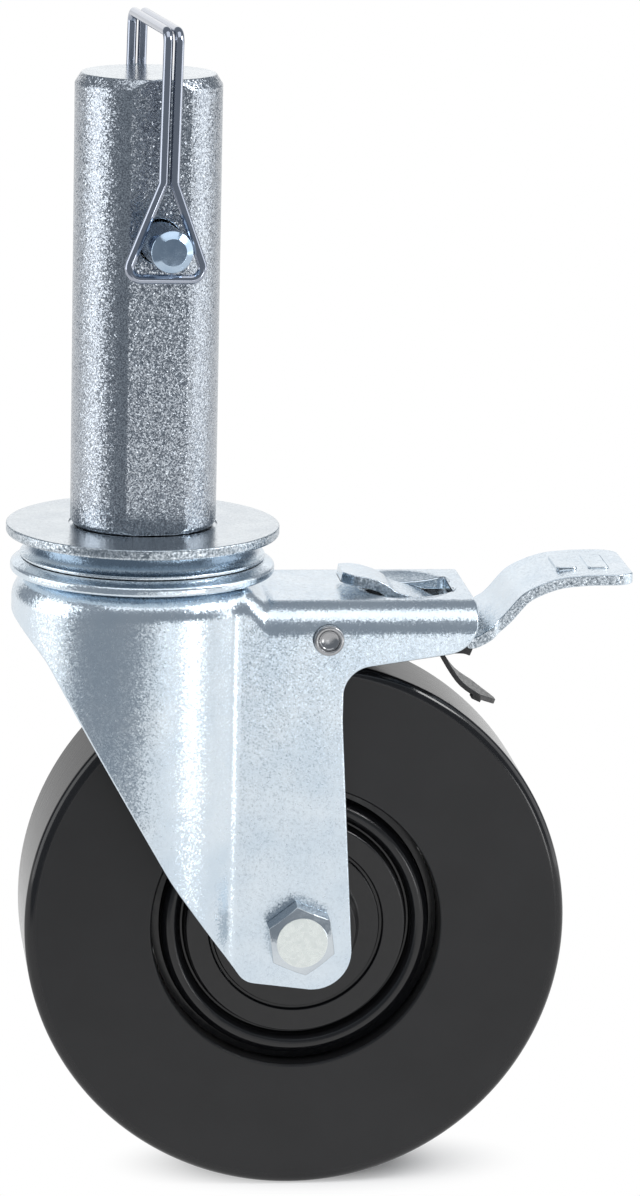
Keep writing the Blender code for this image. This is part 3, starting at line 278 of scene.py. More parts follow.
def metal(name, colour, roughness, tones=None, patches=None, crystal=None, lumps=None):
    """A bare or plated metal with up to four patterns, whose sizes and depths are in metres.

    tones: size, two colours and, for harder patches, two noise limits. patches: size, smoothest and
    roughest. crystal: size and tilt. lumps: size, detail and depth.
    """
    made, tree, shader, place = new_material(name, colour, roughness, 1.0)
    if tones:
        size, first, second, *limits = tones
        two_tone(tree, shader, ramp(tree, grain(tree, place, size), 0.0, 1.0, *limits), first, second)
    if patches:
        worn(tree, shader, place, *patches)
    normal = crystals(tree, place, *crystal) if crystal else None
    if lumps:
        size, detail, depth = lumps
        normal = relief(tree, grain(tree, place, size, detail), depth, normal)
    feed(tree, shader, {"Normal": normal} if normal else {})
    return made


def zinc_neck_painted_shade():
    """The sheet's zinc with painted shade: its colour darkens from the lip up into the groove under the
    disc.
    """
    made, tree, shader, place = new_material("zinc_neck_painted_shade", "#8FA3B5", 0.24, 1.0)
    height = add(tree, "ShaderNodeSeparateXYZ", {"Vector": place}).outputs["Z"]
    lip = LIP_UNDER + LIP_THICK
    # Painted shade: the colour darkens above the lip, where the groove under the disc lies in shade
    two_tone(tree, shader, ramp(tree, height, 0.0, 1.0, lip, lip + 1.2 * MM), "#D6E0E8", "#8396A8")
    worn(tree, shader, place, 0.8 * MM, 0.18, 0.30)
    feed(tree, shader, {"Normal": crystals(tree, place, ZINC_CRYSTAL, 0.14)})
    return made


def blackened_steel():
    """Black-finished spring steel: dark satin with a fine tooth that catches the light."""
    made, tree, shader, place = new_material("blackened_steel", "#1C1C1E", 0.34)
    two_tone(tree, shader, ramp(tree, grain(tree, place, 2 * MM), 0.0, 1.0), "#131314", "#2A2A2C")
    worn(tree, shader, place, 0.8 * MM, 0.24, 0.46)
    feed(tree, shader, {"Normal": relief(tree, grain(tree, place, 0.9 * MM), 0.10 * MM)})
    return made


def solid_rubber():
    """Moulded solid rubber: near black and satin on its faces, polished by rolling on the tread."""
    made, tree, shader, place = new_material("solid_rubber", "#18181A", 0.34)
    two_tone(tree, shader, ramp(tree, grain(tree, place, 12 * MM), 0.0, 1.0), "#161618", "#1B1B1D")
    centred = vector(tree, "SUBTRACT", place, (AXLE_X, 0, AXLE_Z))
    radius = vector(tree, "LENGTH", vector(tree, "MULTIPLY", centred, (1, 0, 1)))
    polished = ramp(tree, radius, 0.34, 0.13, WHEEL_RADIUS - 2.6 * MM, WHEEL_RADIUS - 1.8 * MM)
    tread = ramp(tree, radius, 0.45, 0.05, WHEEL_RADIUS - 0.5 * MM, WHEEL_RADIUS - 0.1 * MM)
    across = vector(tree, "MULTIPLY", place, (0, 1, 0))
    rolled = relief(tree, grain(tree, across, 1.1 * MM), 0.05 * MM)
    moulded = relief(tree, grain(tree, place, 1.6 * MM), 0.006 * MM, rolled)
    feed(tree, shader, {"Roughness": polished, "Specular IOR Level": tread, "Normal": moulded})
    return made


def moulded_nylon():
    """Moulded black nylon: glossier than the rubber round it."""
    made, tree, shader, place = new_material("moulded_nylon", "#121214", 0.2)
    worn(tree, shader, place, 1.6 * MM, 0.16, 0.26)
    feed(tree, shader, {"Normal": relief(tree, grain(tree, place, 1.5 * MM), 0.008 * MM)})
    return made


# The finest crystal that still shows in a view of the whole part
ZINC_CRYSTAL = 0.3 * MM

# Bright zinc on pressed steel: pale and bluish, smooth where it mirrors white, sparkling at shadows
SHEET_ZINC = metal("zinc_plated_sheet", "#CCD9E3", 0.23, (11 * MM, "#D0DDE8", "#DCE6EE"),
                   (0.8 * MM, 0.18, 0.28), (ZINC_CRYSTAL, 0.13), (14 * MM, 0.0, 0.05 * MM))
# The neck's zinc, with painted shade in the groove under the disc
NECK_ZINC_PAINTED_SHADE = zinc_neck_painted_shade()
# Zinc on a drawn bar: a greyer satin, its fine dimples breaking the highlights into sparks
BAR_ZINC = metal("zinc_plated_bar", "#B4BBC2", 0.28, (0.32 * MM, "#858B94", "#C2C9D0", 0.4, 0.6),
                 (0.9 * MM, 0.17, 0.28), (ZINC_CRYSTAL, 0.31), (0.5 * MM, 1.0, 0.025 * MM))
# Zinc on a turned disc: satin and smoother than the sheet, so it mirrors the stem
DISC_ZINC = metal("zinc_plated_disc", "#CAD2D8", 0.2, (8 * MM, "#C2CAD1", "#D0D7DC"),
                  (0.7 * MM, 0.14, 0.26), (ZINC_CRYSTAL, 0.07))
# Zinc over a sheared edge: darker and much rougher than the sheet's faces
SHEARED = metal("sheared_zinc", "#A9B4BD", 0.3, (0.5 * MM, "#96A0A8", "#D4DCE3", 0.4, 0.6),
                crystal=(0.4 * MM, 0.3), lumps=(0.7 * MM, 2.0, 0.03 * MM))
# Nickel-bright fastener steel: pale and slightly matt on its faces
FASTENER = metal("fastener_steel", "#E2E8E6", 0.26, patches=(1.2 * MM, 0.20, 0.36),
                 crystal=(0.5 * MM, 0.05), lumps=(2.4 * MM, 2.0, 0.02 * MM))
# Ground pin steel with a blue passivation: a smooth blue-grey mirror
PIN_STEEL = metal("blue_passivated_pin", "#A9BDD2", 0.16, (5 * MM, "#9DB2C8", "#B6C8DA"),
                  (1.2 * MM, 0.11, 0.21))
# Bright drawn wire: almost a mirror, so it shows white edges and a dark core
WIRE = metal("drawn_spring_wire", "#A2A8B4", 0.11, patches=(1.5 * MM, 0.08, 0.15))
# Ground bearing steel: a dark, even mirror
HARD = metal("hardened_steel", "#A6A7A9", 0.2, patches=(1.0 * MM, 0.15, 0.28))
BLACK_STEEL = blackened_steel()
RUBBER = solid_rubber()
NYLON = moulded_nylon()


# Geometry Nodes

BEND_STEPS = 9
WIRE_SIDES = 20


def new_tree(name, sockets):
    """A tree with named inputs, a look and one geometry output."""
    tree = bpy.data.node_groups.new(name, "GeometryNodeTree")
    for label, kind in {**sockets, "Finish": "Material"}.items():
        tree.interface.new_socket(label, in_out="INPUT", socket_type="NodeSocket" + kind)
    tree.interface.new_socket("Piece", in_out="OUTPUT", socket_type="NodeSocketGeometry")
    return tree, add(tree, "NodeGroupInput").outputs


def close_tree(tree, geometry, finish):
    """End a tree in real, smooth mesh with its material."""
    real = add(tree, "GeometryNodeRealizeInstances", {"Geometry": geometry})
    welded = add(tree, "GeometryNodeMergeByDistance", {"Geometry": real, "Distance": 0.001 * MM})
    smooth = add(tree, "GeometryNodeSetShadeSmooth", {"Geometry": welded})
    painted = add(tree, "GeometryNodeSetMaterial", {"Geometry": smooth, "Material": finish})
    add(tree, "NodeGroupOutput", {"Piece": painted})
    return tree


def turned_tree():
    """Spin a profile, drawn as x outwards and y downwards, about the Z axis."""
    tree, given = new_tree("turned_piece", {"Profile": "Geometry", "Steps": "Int"})
    hub = 20 * MM
    curve = add(tree, "GeometryNodeMeshToCurve", {"Mesh": given["Profile"]})
    shifted = add(tree, "GeometryNodeTransform", {"Geometry": curve, "Translation": (-hub, 0, 0)})
    circle = add(tree, "GeometryNodeCurvePrimitiveCircle", {"Resolution": given["Steps"], "Radius": hub})
    swept = add(tree, "GeometryNodeCurveToMesh", {"Curve": circle, "Profile Curve": shifted})
    return close_tree(tree, swept, given["Finish"])


def wire_tree():
    """Round wire along a path, its corners bent to a radius."""
    tree, given = new_tree("bent_wire", {
        "Path": "Geometry", "Wire Radius": "Float", "Bend Radius": "Float"})
    curve = add(tree, "GeometryNodeMeshToCurve", {"Mesh": given["Path"]})
    bent = add(tree, "GeometryNodeFilletCurve", {
        "Curve": curve, "Radius": given["Bend Radius"], "Limit Radius": True})
    bent.mode = "POLY"
    feed(tree, bent, {"Count": BEND_STEPS})
    section = add(tree, "GeometryNodeCurvePrimitiveCircle", {
        "Resolution": WIRE_SIDES, "Radius": given["Wire Radius"]})
    swept = add(tree, "GeometryNodeCurveToMesh", {
        "Curve": bent, "Profile Curve": section, "Fill Caps": True})
    return close_tree(tree, swept, given["Finish"])


def ring_tree():
    """Copies of one item set round a circle about the Z axis."""
    tree, given = new_tree("ring_of_items", {
        "Item": "Geometry", "Count": "Int", "Circle Radius": "Float"})
    circle = add(tree, "GeometryNodeMeshCircle", {
        "Vertices": given["Count"], "Radius": given["Circle Radius"]})
    items = add(tree, "GeometryNodeInstanceOnPoints", {"Points": circle, "Instance": given["Item"]})
    return close_tree(tree, items, given["Finish"])


TURNED = turned_tree()
BENT_WIRE = wire_tree()
RING_OF = ring_tree()


def placed(name, data, place=Matrix()):
    """Link an object with its data into the scene."""
    made = bpy.data.objects.new(name, data)
    made.matrix_world = place
    bpy.context.scene.collection.objects.link(made)
    return made


def evaluated(piece):
    """The mesh of an object with its modifiers applied."""
    depsgraph = bpy.context.evaluated_depsgraph_get()
    return bpy.data.meshes.new_from_object(piece.evaluated_get(depsgraph))


def grown(name, mesh, tree, values):
    """Run a tree on a mesh and keep the result as a plain mesh object."""
    piece = placed(name, mesh)
    modifier = piece.modifiers.new("grow", "NODES")
    modifier.node_group = tree
    for item in tree.interface.items_tree:
        if item.in_out == "INPUT" and item.name in values:
            modifier[item.identifier] = values[item.name]
    result = evaluated(piece)
    piece.modifiers.clear()
    piece.data = result
    return piece


# Shapes

def face_out(mesh):
    """Close small gaps and point every face outwards."""
    shape = bmesh.new()
    shape.from_mesh(mesh)
    bmesh.ops.remove_doubles(shape, verts=shape.verts, dist=0.001 * MM)
    bmesh.ops.recalc_face_normals(shape, faces=shape.faces)
    if shape.calc_volume(signed=True) < 0:
        bmesh.ops.reverse_faces(shape, faces=shape.faces)
    shape.to_mesh(mesh)
    shape.free()


def to_mesh(shape, name):
    """Turn a bmesh into a closed mesh with its faces outwards."""
    mesh = bpy.data.meshes.new(name)
    shape.to_mesh(mesh)
    shape.free()
    face_out(mesh)
    return mesh


def turned(name, profile, steps, look, closed=True):
    """A turned piece from (radius, height) points."""
    mesh = bpy.data.meshes.new(name)
    count = len(profile)
    edges = [(i, i + 1) for i in range(count - 1)] + ([(count - 1, 0)] if closed else [])
    mesh.from_pydata([(radius, -height, 0) for radius, height in profile], edges, [])
    piece = grown(name, mesh, TURNED, {"Steps": steps, "Finish": look})
    face_out(piece.data)
    return piece


def fillet(corners, arc_step=radians(9)):
    """Round each (a, b, radius) corner of a closed outline with an arc."""
    outline = []
    for index, (a, b, radius) in enumerate(corners):
        corner = Vector((a, b))
        before = Vector(corners[index - 1][:2]) - corner
        after = Vector(corners[(index + 1) % len(corners)][:2]) - corner
        if radius == 0 or before.length < 1e-7 or after.length < 1e-7:
            outline.append((a, b))
            continue
        half = before.angle(after) / 2
        reach = min(radius / tan(half), 0.49 * before.length, 0.49 * after.length)
        radius = reach * tan(half)
        centre = corner + (before.normalized() + after.normalized()).normalized() * (radius / sin(half))
        start = corner + before.normalized() * reach - centre
        sweep = start.angle_signed(corner + after.normalized() * reach - centre)
        count = max(2, round(abs(sweep) / arc_step))
        for step in range(count + 1):
            outline.append(tuple(centre + Matrix.Rotation(-sweep * step / count, 2) @ start))
    return outline


def polar(radius, turn):
    """The point at a radius and an angle in radians."""
    return radius * cos(turn), radius * sin(turn)


def rounded_plan(front, rear, half_width, radius):
    """A rectangle with rounded corners, alike on both sides of the X axis."""
    return fillet([(front, -half_width, radius), (rear, -half_width, radius),
                   (rear, half_width, radius), (front, half_width, radius)])


def mirrored(half):
    """A (radius, height, rounding) profile completed by its mirror image."""
    return half + [(radius, -height, rounding) for radius, height, rounding in reversed(half)]


def prism(outline, low, high, along="Y"):
    """A prism mesh: (x, z) points run along Y, or (x, y) points run along Z."""
    shape = bmesh.new()
    if along == "Y":
        points = [shape.verts.new((x, low, z)) for x, z in outline]
        travel = (0, high - low, 0)
    else:
        points = [shape.verts.new((x, y, low)) for x, y in outline]
        travel = (0, 0, high - low)
    face = shape.faces.new(points)
    moved = bmesh.ops.extrude_face_region(shape, geom=[face])["geom"]
    bmesh.ops.translate(shape, vec=travel, verts=[v for v in moved if isinstance(v, bmesh.types.BMVert)])
    return to_mesh(shape, "prism")


def rod(radius, low, high, steps=64):
    """A plain cylinder mesh along Z."""
    shape = bmesh.new()
    bmesh.ops.create_cone(shape, cap_ends=True, segments=steps, radius1=radius, radius2=radius,
                          depth=high - low, matrix=Matrix.Translation((0, 0, (low + high) / 2)))
    return to_mesh(shape, "rod")


def threaded(radius, pitch, low, high):
    """A bar along Z with a helical thread and a coned lower end."""
    columns = 48
    rows_per_pitch = 8
    rows = round(rows_per_pitch * (high - low) / pitch)
    depth = 0.55 * pitch
    chamfer = 1.4 * depth
    shape = bmesh.new()
    loops = []
    for row in range(rows + 1):
        height = low + (high - low) * row / rows
        cone = radius - chamfer + height - low
        loop = []
        for column in range(columns):
            phase = (height / pitch - column / columns) % 1.0
            reach = min(radius - depth * abs(2 * phase - 1), cone)
            loop.append(shape.verts.new((*polar(reach, tau * column / columns), height)))
        loops.append(loop)
    for lower, upper in zip(loops, loops[1:]):
        for column in range(columns):
            after = (column + 1) % columns
            shape.faces.new((lower[column], lower[after], upper[after], upper[column]))
    shape.faces.new(loops[0][::-1])
    shape.faces.new(loops[-1])
    return to_mesh(shape, "thread")


def new_piece(name, mesh, look):
    """Link a mesh as a piece with one material."""
    mesh.materials.clear()
    mesh.materials.append(look)
    return placed(name, mesh)


def combine(piece, mesh, operation, place=Matrix()):
    """Boolean a mesh with a piece and keep the result."""
    tool = placed("tool", mesh, place)
    modifier = piece.modifiers.new("cut", "BOOLEAN")
    modifier.operation = operation
    modifier.solver = "EXACT"
    modifier.object = tool
    result = evaluated(piece)
    piece.modifiers.clear()
    piece.data = result
    bpy.data.objects.remove(tool)


def merge(piece, other, operation="UNION"):
    """Boolean a second piece into the first and use it up."""
    combine(piece, other.data, operation)
    bpy.data.objects.remove(other)


def clean_flats(mesh):
    """Merge what a cut left behind on flat faces, so edges can be rounded evenly."""
    shape = bmesh.new()
    shape.from_mesh(mesh)
    bmesh.ops.remove_doubles(shape, verts=shape.verts, dist=0.02 * MM)
    bmesh.ops.dissolve_limit(shape, angle_limit=radians(0.5), verts=shape.verts, edges=shape.edges,
                             delimit={"SHARP"})
    bmesh.ops.dissolve_degenerate(shape, edges=shape.edges, dist=0.01 * MM)
    shape.to_mesh(mesh)
    shape.free()


def complete(piece, look, body, node, edge=0.0, place=Matrix(), sharp=35.0, segments=3):
    """An edge is rounded where its faces meet at more than the sharp angle, in degrees.
    """
    if edge:
        clean_flats(piece.data)
        bevel = piece.modifiers.new("edges", "BEVEL")
        bevel.width = edge
        bevel.segments = segments
        bevel.limit_method = "ANGLE"
        bevel.angle_limit = radians(sharp)
        bevel.use_clamp_overlap = False
        piece.data = evaluated(piece)
        piece.modifiers.clear()
    piece.data.shade_smooth()
    piece.data.set_sharp_from_angle(angle=radians(50))
    weigh = piece.modifiers.new("weigh", "WEIGHTED_NORMAL")
    weigh.keep_sharp = True
    weigh.weight = 60
    mesh = evaluated(piece)
    piece.modifiers.clear()
    mesh.transform(place)
    mesh.materials.clear()
    mesh.materials.append(look)
    mesh.name = piece.name
    piece.data = mesh
    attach(piece, body)
    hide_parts(node)


def second_look(piece, look, chosen):
    """Give the chosen faces of a piece another material."""
    piece.data.materials.append(look)
    for face in piece.data.polygons:
        if chosen(face):
            face.material_index = 1


def strip(line, thick):
    """The outline of a bent sheet whose upper face follows a line of (x, z) points."""
    lower = []
    for index, point in enumerate(line):
        here = Vector(point)
        ahead = Vector(line[min(index + 1, len(line) - 1)]) - here
        behind = here - Vector(line[max(index - 1, 0)])
        along = (ahead.normalized() + behind.normalized()).normalized()
        lower.append(tuple(here + Vector((along.y, -along.x)) * thick))
    return list(line) + lower[::-1]


def smooth_line(points, per_span=8):
    """A Catmull-Rom curve through (x, z) points."""
    ends = [points[0]] + list(points) + [points[-1]]
    line = []
    for first, second, third, fourth in zip(ends, ends[1:], ends[2:], ends[3:]):
        a, b, c, d = Vector(first), Vector(second), Vector(third), Vector(fourth)
        for step in range(per_span):
            t = step / per_span
            line.append(tuple(0.5 * (2 * b + (c - a) * t + (2 * a - 5 * b + 4 * c - d) * t ** 2
                                     + (3 * b - a - 3 * c + d) * t ** 3)))
    line.append(tuple(points[-1]))
    return line


# Stem and swivel head

def make_stem():
    """Drawn bar with two flats, chamfered ends and cross hole, and the threaded kingpin below."""
    base = SEAT_GAP - SEAT_RECESS
    profile = [(0, STEM_LENGTH), (STEM_RADIUS - STEM_CHAMFER, STEM_LENGTH),
               (STEM_RADIUS, STEM_LENGTH - STEM_CHAMFER_RISE), (STEM_RADIUS, base + FOOT_CHAMFER_RISE),
               (STEM_RADIUS - FOOT_CHAMFER, base), (KINGPIN_RADIUS, base), (KINGPIN_RADIUS, THREAD_TOP),
               (0, THREAD_TOP)]
    stem = turned("stem_bar", profile, 128, BAR_ZINC, closed=False)
    wide = 2 * STEM_RADIUS
    for side in (-1, 1):
        near, far = sorted((side * STEM_FLAT, side * wide))
        slab = [(-wide, near), (wide, near), (wide, far), (-wide, far)]
        combine(stem, prism(slab, -MM, STEM_LENGTH + MM, "Z"), "DIFFERENCE")
    combine(stem, rod(PIN_RADIUS + RUN_GAP, -wide, wide), "DIFFERENCE", PIN_BORE)
    combine(stem, threaded(THREAD_RADIUS, 1.75 * MM, KINGPIN_END, THREAD_TOP + MM), "UNION")
    complete(stem, BAR_ZINC, "root", "stem", 0.25 * MM, STEM_FRAME, sharp=12.0, segments=2)
    second_look(stem, DISC_ZINC, lambda face: face.center.z > STEM_LENGTH - 0.1 * MM)


def make_seat_disc():
    """Turned disc with a crisp upper edge, a rounder lower one and the stem's shallow recess."""
    bore = KINGPIN_RADIUS + SEAT_GAP
    recess = STEM_RADIUS + SEAT_GAP
    corners = [(bore, -SEAT_RECESS, 0.1 * MM), (bore, -DISC_THICK, 0.2 * MM),
               (DISC_RADIUS, -DISC_THICK, 0.7 * MM), (DISC_RADIUS, 0, 0.4 * MM), (recess, 0, 0.1 * MM),
               (recess, -SEAT_RECESS, 0.1 * MM)]
    disc = turned("seat_disc_plate", fillet(corners), 160, DISC_ZINC)
    complete(disc, DISC_ZINC, "root", "seat_disc")
    second_look(disc, SHEARED, lambda face: abs(face.normal.z) < 0.8)


def track(circle, height, rising):
    """Half-round ball track in a profile, from the outside in."""
    points = []
    for step in range(9):
        outwards, up = polar(BALL_RADIUS + SEAT_GAP, pi * (0.2 + 0.6 * step / 8))
        points.append((circle + outwards, height + rising * up))
    return points


def make_upper_race():
    """Race under the disc: its neck shows, and flares into a lip over the dust ring."""
    bore = KINGPIN_RADIUS + SEAT_GAP
    start = NECK_TOP - 0.2 * NECK_DEPTH
    lip_top = LIP_UNDER + LIP_THICK
    profile = [(bore, NECK_TOP), (NECK_RADIUS, NECK_TOP)]
    for step in range(13):
        turn = radians(90) * step / 12
        profile.append((NECK_RADIUS + (LIP_RADIUS - 0.3 * MM - NECK_RADIUS) * (1 - cos(turn)),
                        start - (start - lip_top) * sin(turn)))
    profile += [(LIP_RADIUS - 0.1 * MM, lip_top - 0.1 * MM), (LIP_RADIUS, lip_top - 0.3 * MM),
                (LIP_RADIUS - 0.1 * MM, LIP_UNDER), (UPPER_BALL_CIRCLE + 3.0 * MM, LIP_UNDER)]
    profile += track(UPPER_BALL_CIRCLE, UPPER_BALL_Z, 1)
    profile += [(bore + 4 * MM, RACE_UNDER), (bore + 4 * MM, UPPER_BALL_Z), (bore, UPPER_BALL_Z)]
    race = turned("upper_race_neck", profile, 160, NECK_ZINC_PAINTED_SHADE)
    complete(race, NECK_ZINC_PAINTED_SHADE, "root", "upper_race")


def make_race_ring():
    """Rolled dust ring on the crown, its shoulder sloping in to the lip above it."""
    shelf = LIP_UNDER - RUN_GAP
    outer = fillet([
        (KINGPIN_HOLE, RING_BASE, 0), (RING_RADIUS, RING_BASE, 0.7 * MM),
        (RING_RADIUS, RING_BASE + 1.9 * MM, 0.9 * MM), (LIP_RADIUS + 0.2 * MM, shelf - 0.3 * MM, 0.2 * MM),
        (LIP_RADIUS - 0.1 * MM, shelf, 0.1 * MM), (UPPER_BALL_CIRCLE + 3.0 * MM, shelf, 0)])
    profile = outer + track(UPPER_BALL_CIRCLE, UPPER_BALL_Z, -1)
    profile += [(UPPER_BALL_CIRCLE - 3.0 * MM, shelf), (KINGPIN_HOLE, shelf - 1.5 * MM)]
    ring = turned("race_ring_dust", profile, 160, SHEET_ZINC)
    complete(ring, SHEET_ZINC, "swivel", "race_ring")


def ball_mesh(radius):
    """A smooth ball."""
    shape = bmesh.new()
    bmesh.ops.create_icosphere(shape, subdivisions=3, radius=radius)
    return to_mesh(shape, "ball")


def make_ball_row(name, node, count, circle, height):
    """Balls in the pockets of a flat pressed cage."""
    ring = {"Count": count, "Circle Radius": circle, "Finish": HARD}
    cage_half = 0.35 * MM
    reach = 0.7 * BALL_RADIUS
    flat = [(circle + reach, cage_half), (circle + reach, -cage_half),
            (circle - reach, -cage_half), (circle - reach, cage_half)]
    row = turned(name, flat, 64, HARD)
    merge(row, grown("pockets", ball_mesh(BALL_RADIUS + 0.1 * MM), RING_OF, ring), "DIFFERENCE")
    balls = grown("balls", ball_mesh(BALL_RADIUS), RING_OF, ring)
    joined = bmesh.new()
    joined.from_mesh(row.data)
    joined.from_mesh(balls.data)
    joined.to_mesh(row.data)
    joined.free()
    bpy.data.objects.remove(balls)
    complete(row, HARD, "swivel", node, place=Matrix.Translation((0, 0, height)))


def make_roller_cage():
    """Rollers with their cage between the sleeve and the hub."""
    outer = HUB_BORE - SEAT_GAP
    inner = SLEEVE_RADIUS + RUN_GAP
    half = WHEEL_HALF_WIDTH + 2.0 * MM
    radius = (outer - inner) / 2
    flat = [(outer - 0.6 * MM, half), (outer - 0.6 * MM, -half), (inner + 0.6 * MM, -half),
            (inner + 0.6 * MM, half)]
    cage = turned("needle_cage", flat, 64, HARD)
    rollers = grown("rollers", rod(radius, 3 * MM - half, half - 3 * MM, 24), RING_OF,
                    {"Count": ROLLER_COUNT, "Circle Radius": inner + radius, "Finish": HARD})
    merge(cage, rollers)
    complete(cage, HARD, "wheel", "roller_cage", place=AXLE_FRAME)


# Fork

def fork_plan(inset):
    """Half of the fork's plan, front to rear: (x, y, normal x, normal y)."""
    centre_y = LEG_HALF_WIDTH + CREASE_RADIUS
    centre_x = sqrt((CROWN_RADIUS + CREASE_RADIUS) ** 2 - centre_y ** 2)
    meet = atan2(centre_y, centre_x)
    stations = []
    crown_steps = 36
    for step in range(crown_steps + 1):
        turn = pi + (meet - pi) * step / crown_steps
        stations.append((*polar(CROWN_RADIUS, turn), *polar(1.0, turn)))
    crease_steps = 8
    for step in range(1, crease_steps + 1):
        turn = meet + (pi / 2 - meet) * step / crease_steps
        along, aside = polar(CREASE_RADIUS, turn)
        stations.append((centre_x - along, centre_y - aside, *polar(1.0, turn)))
    ramp_step = 0.8 * MM
    for step in range(1, 9):
        stations.append((centre_x + ramp_step * step, LEG_HALF_WIDTH, 0.0, 1.0))
    stations.append((ARM_END + 12 * MM, LEG_HALF_WIDTH, 0.0, 1.0))
    return [(x - nx * inset, y - ny * inset, nx, ny) for x, y, nx, ny in stations]


def crown_height(x):
    """Top of the sheet and its bend: the crown's level, then a ramp to the arm's."""
    ramp_start = sqrt(CROWN_RADIUS ** 2 - LEG_HALF_WIDTH ** 2) + 2 * MM
    ramp_length = 6 * MM
    share = min(1.0, max(0.0, (x - ramp_start) / ramp_length))
    share = share * share * (3 - 2 * share)
    return CROWN_TOP + (ARM_TOP - CROWN_TOP) * share, CROWN_SHOULDER + (ARM_BEND - CROWN_SHOULDER) * share


def fork_block(inset, floor):
    """Closed loft of the pressing's outside, or of its inside when inset by the sheet."""
    plan = fork_plan(inset)
    levels = []
    bend_steps = 12
    for step in range(bend_steps + 1):
        turn = radians(90) * step / bend_steps
        level = []
        for x, y, nx, ny in plan:
            top, bend = crown_height(x)
            bend -= inset
            shift = bend * (1 - sin(turn))
            level.append((x - nx * shift, y - ny * shift, top - inset - bend * (1 - cos(turn))))
        levels.append(level)
    levels.append([(x, y, floor) for x, y, nx, ny in plan])
    shape = bmesh.new()
    loops = []
    for level in levels:
        near = [shape.verts.new((x, -y, z)) for x, y, z in level]
        far = [near[0]] + [shape.verts.new((x, y, z)) for x, y, z in level[1:]]
        loops.append((near, far))
    for (near, far), (next_near, next_far) in zip(loops, loops[1:]):
        for index in range(len(plan) - 1):
            shape.faces.new((near[index], near[index + 1], next_near[index + 1], next_near[index]))
            shape.faces.new((far[index + 1], far[index], next_far[index], next_far[index + 1]))
        shape.faces.new((near[-1], far[-1], next_far[-1], next_near[-1]))
    for near, far in (loops[0], loops[-1]):
        shape.faces.new((near[0], near[1], far[1]))
        for index in range(1, len(plan) - 1):
            shape.faces.new((near[index], near[index + 1], far[index + 1], far[index]))
    return to_mesh(shape, "fork_block")


def fork_side():
    """Side outline that the pressing is trimmed to."""
    top = 5 * MM
    foot = AXLE_Z - LEG_FOOT
    skirt = CROWN_TOP - CROWN_SKIRT
    arm_low = ARM_TOP - ARM_DEPTH
    return fillet([
        (-CROWN_RADIUS - 8 * MM, top, 0),
        (-CROWN_RADIUS - 8 * MM, skirt, 0),
        (-CROWN_RADIUS - 1.0 * MM, skirt, 1 * MM),
        (-CROWN_RADIUS + SKIRT_RUN, skirt - SKIRT_FALL, 20 * MM),
        (AXLE_X - LEG_WAIST, AXLE_Z + LEG_WAIST_RISE, 60 * MM),
        (AXLE_X - LEG_TOE, AXLE_Z - LEG_TOE_DROP, 5 * MM),
        (LEG_REAR + LEG_HEEL, foot, 9 * MM),
        (LEG_REAR, AXLE_Z + 0.75 * (arm_low - AXLE_Z), 30 * MM),
        (LEG_REAR, arm_low - ARM_TAPER, 9 * MM),
        (ARM_END, arm_low, 8 * MM),
        (ARM_END, top, 0),
    ], radians(6))


def saddle_cap():
    """The cap of an ellipsoid that dips the arm across the window."""
    height = SADDLE_DEPTH + SADDLE_RISE
    share = sqrt(1 - (SADDLE_RISE / height) ** 2)
    arc = [(sin(radians(turn)), -cos(radians(turn))) for turn in range(0, 57, 4)]
    cap = turned("saddle", [(radius * MM, depth * MM) for radius, depth in arc + [(0, arc[-1][1])]], 64,
                 SHEET_ZINC, closed=False)
    mesh = cap.data
    bpy.data.objects.remove(cap)
    size = (SADDLE_HALF_LENGTH / share, SADDLE_HALF_WIDTH / share, height)
    mesh.transform(Matrix.Diagonal((size[0] / MM, size[1] / MM, size[2] / MM, 1)))
    return mesh


def make_fork():
    """The pressing, with its cut edges slightly rounded over."""
    fork = new_piece("fork_pressing", fork_block(0.0, AXLE_Z - LEG_FOOT - 5 * MM), SHEET_ZINC)
    combine(fork, fork_block(SHEET, AXLE_Z - LEG_FOOT - 8 * MM), "DIFFERENCE")
    wide = CROWN_RADIUS + 5 * MM
    combine(fork, prism(fork_side(), -wide, wide), "INTERSECT")
    combine(fork, rod(KINGPIN_HOLE, CROWN_TOP - 2 * SHEET, CROWN_TOP + SHEET), "DIFFERENCE")
    window = rounded_plan(WINDOW_FRONT, WINDOW_REAR, WINDOW_HALF_WIDTH, 2 * MM)
    combine(fork, prism(window, ARM_TOP - 2 * SHEET, ARM_TOP + SHEET, "Z"), "DIFFERENCE")
    combine(fork, saddle_cap(), "DIFFERENCE", Matrix.Translation((SADDLE_X, 0, ARM_TOP + SADDLE_RISE)))
    combine(fork, rod(BOLT_RADIUS + SEAT_GAP, -wide, wide), "DIFFERENCE", AXLE_FRAME)
    combine(fork, rod(RIVET_RADIUS + SEAT_GAP, -wide, wide), "DIFFERENCE", RIVET_FRAME)
    complete(fork, SHEET_ZINC, "swivel", "fork", 0.45 * MM)


# Wheel and axle

def make_tyre():
    """Solid tyre: flat faces, a small round at the tread's edges and a lip at the hub."""
    face = WHEEL_HALF_WIDTH
    half = [(TYRE_BORE, face - 0.5 * MM, 0.2 * MM), (TYRE_BORE + 0.4 * MM, face, 0.4 * MM),
            (WHEEL_RADIUS, face, 2.4 * MM)]
    tyre = turned("tyre_solid", fillet(mirrored(half)), 224, RUBBER)
    complete(tyre, RUBBER, "wheel", "tyre", place=AXLE_FRAME)


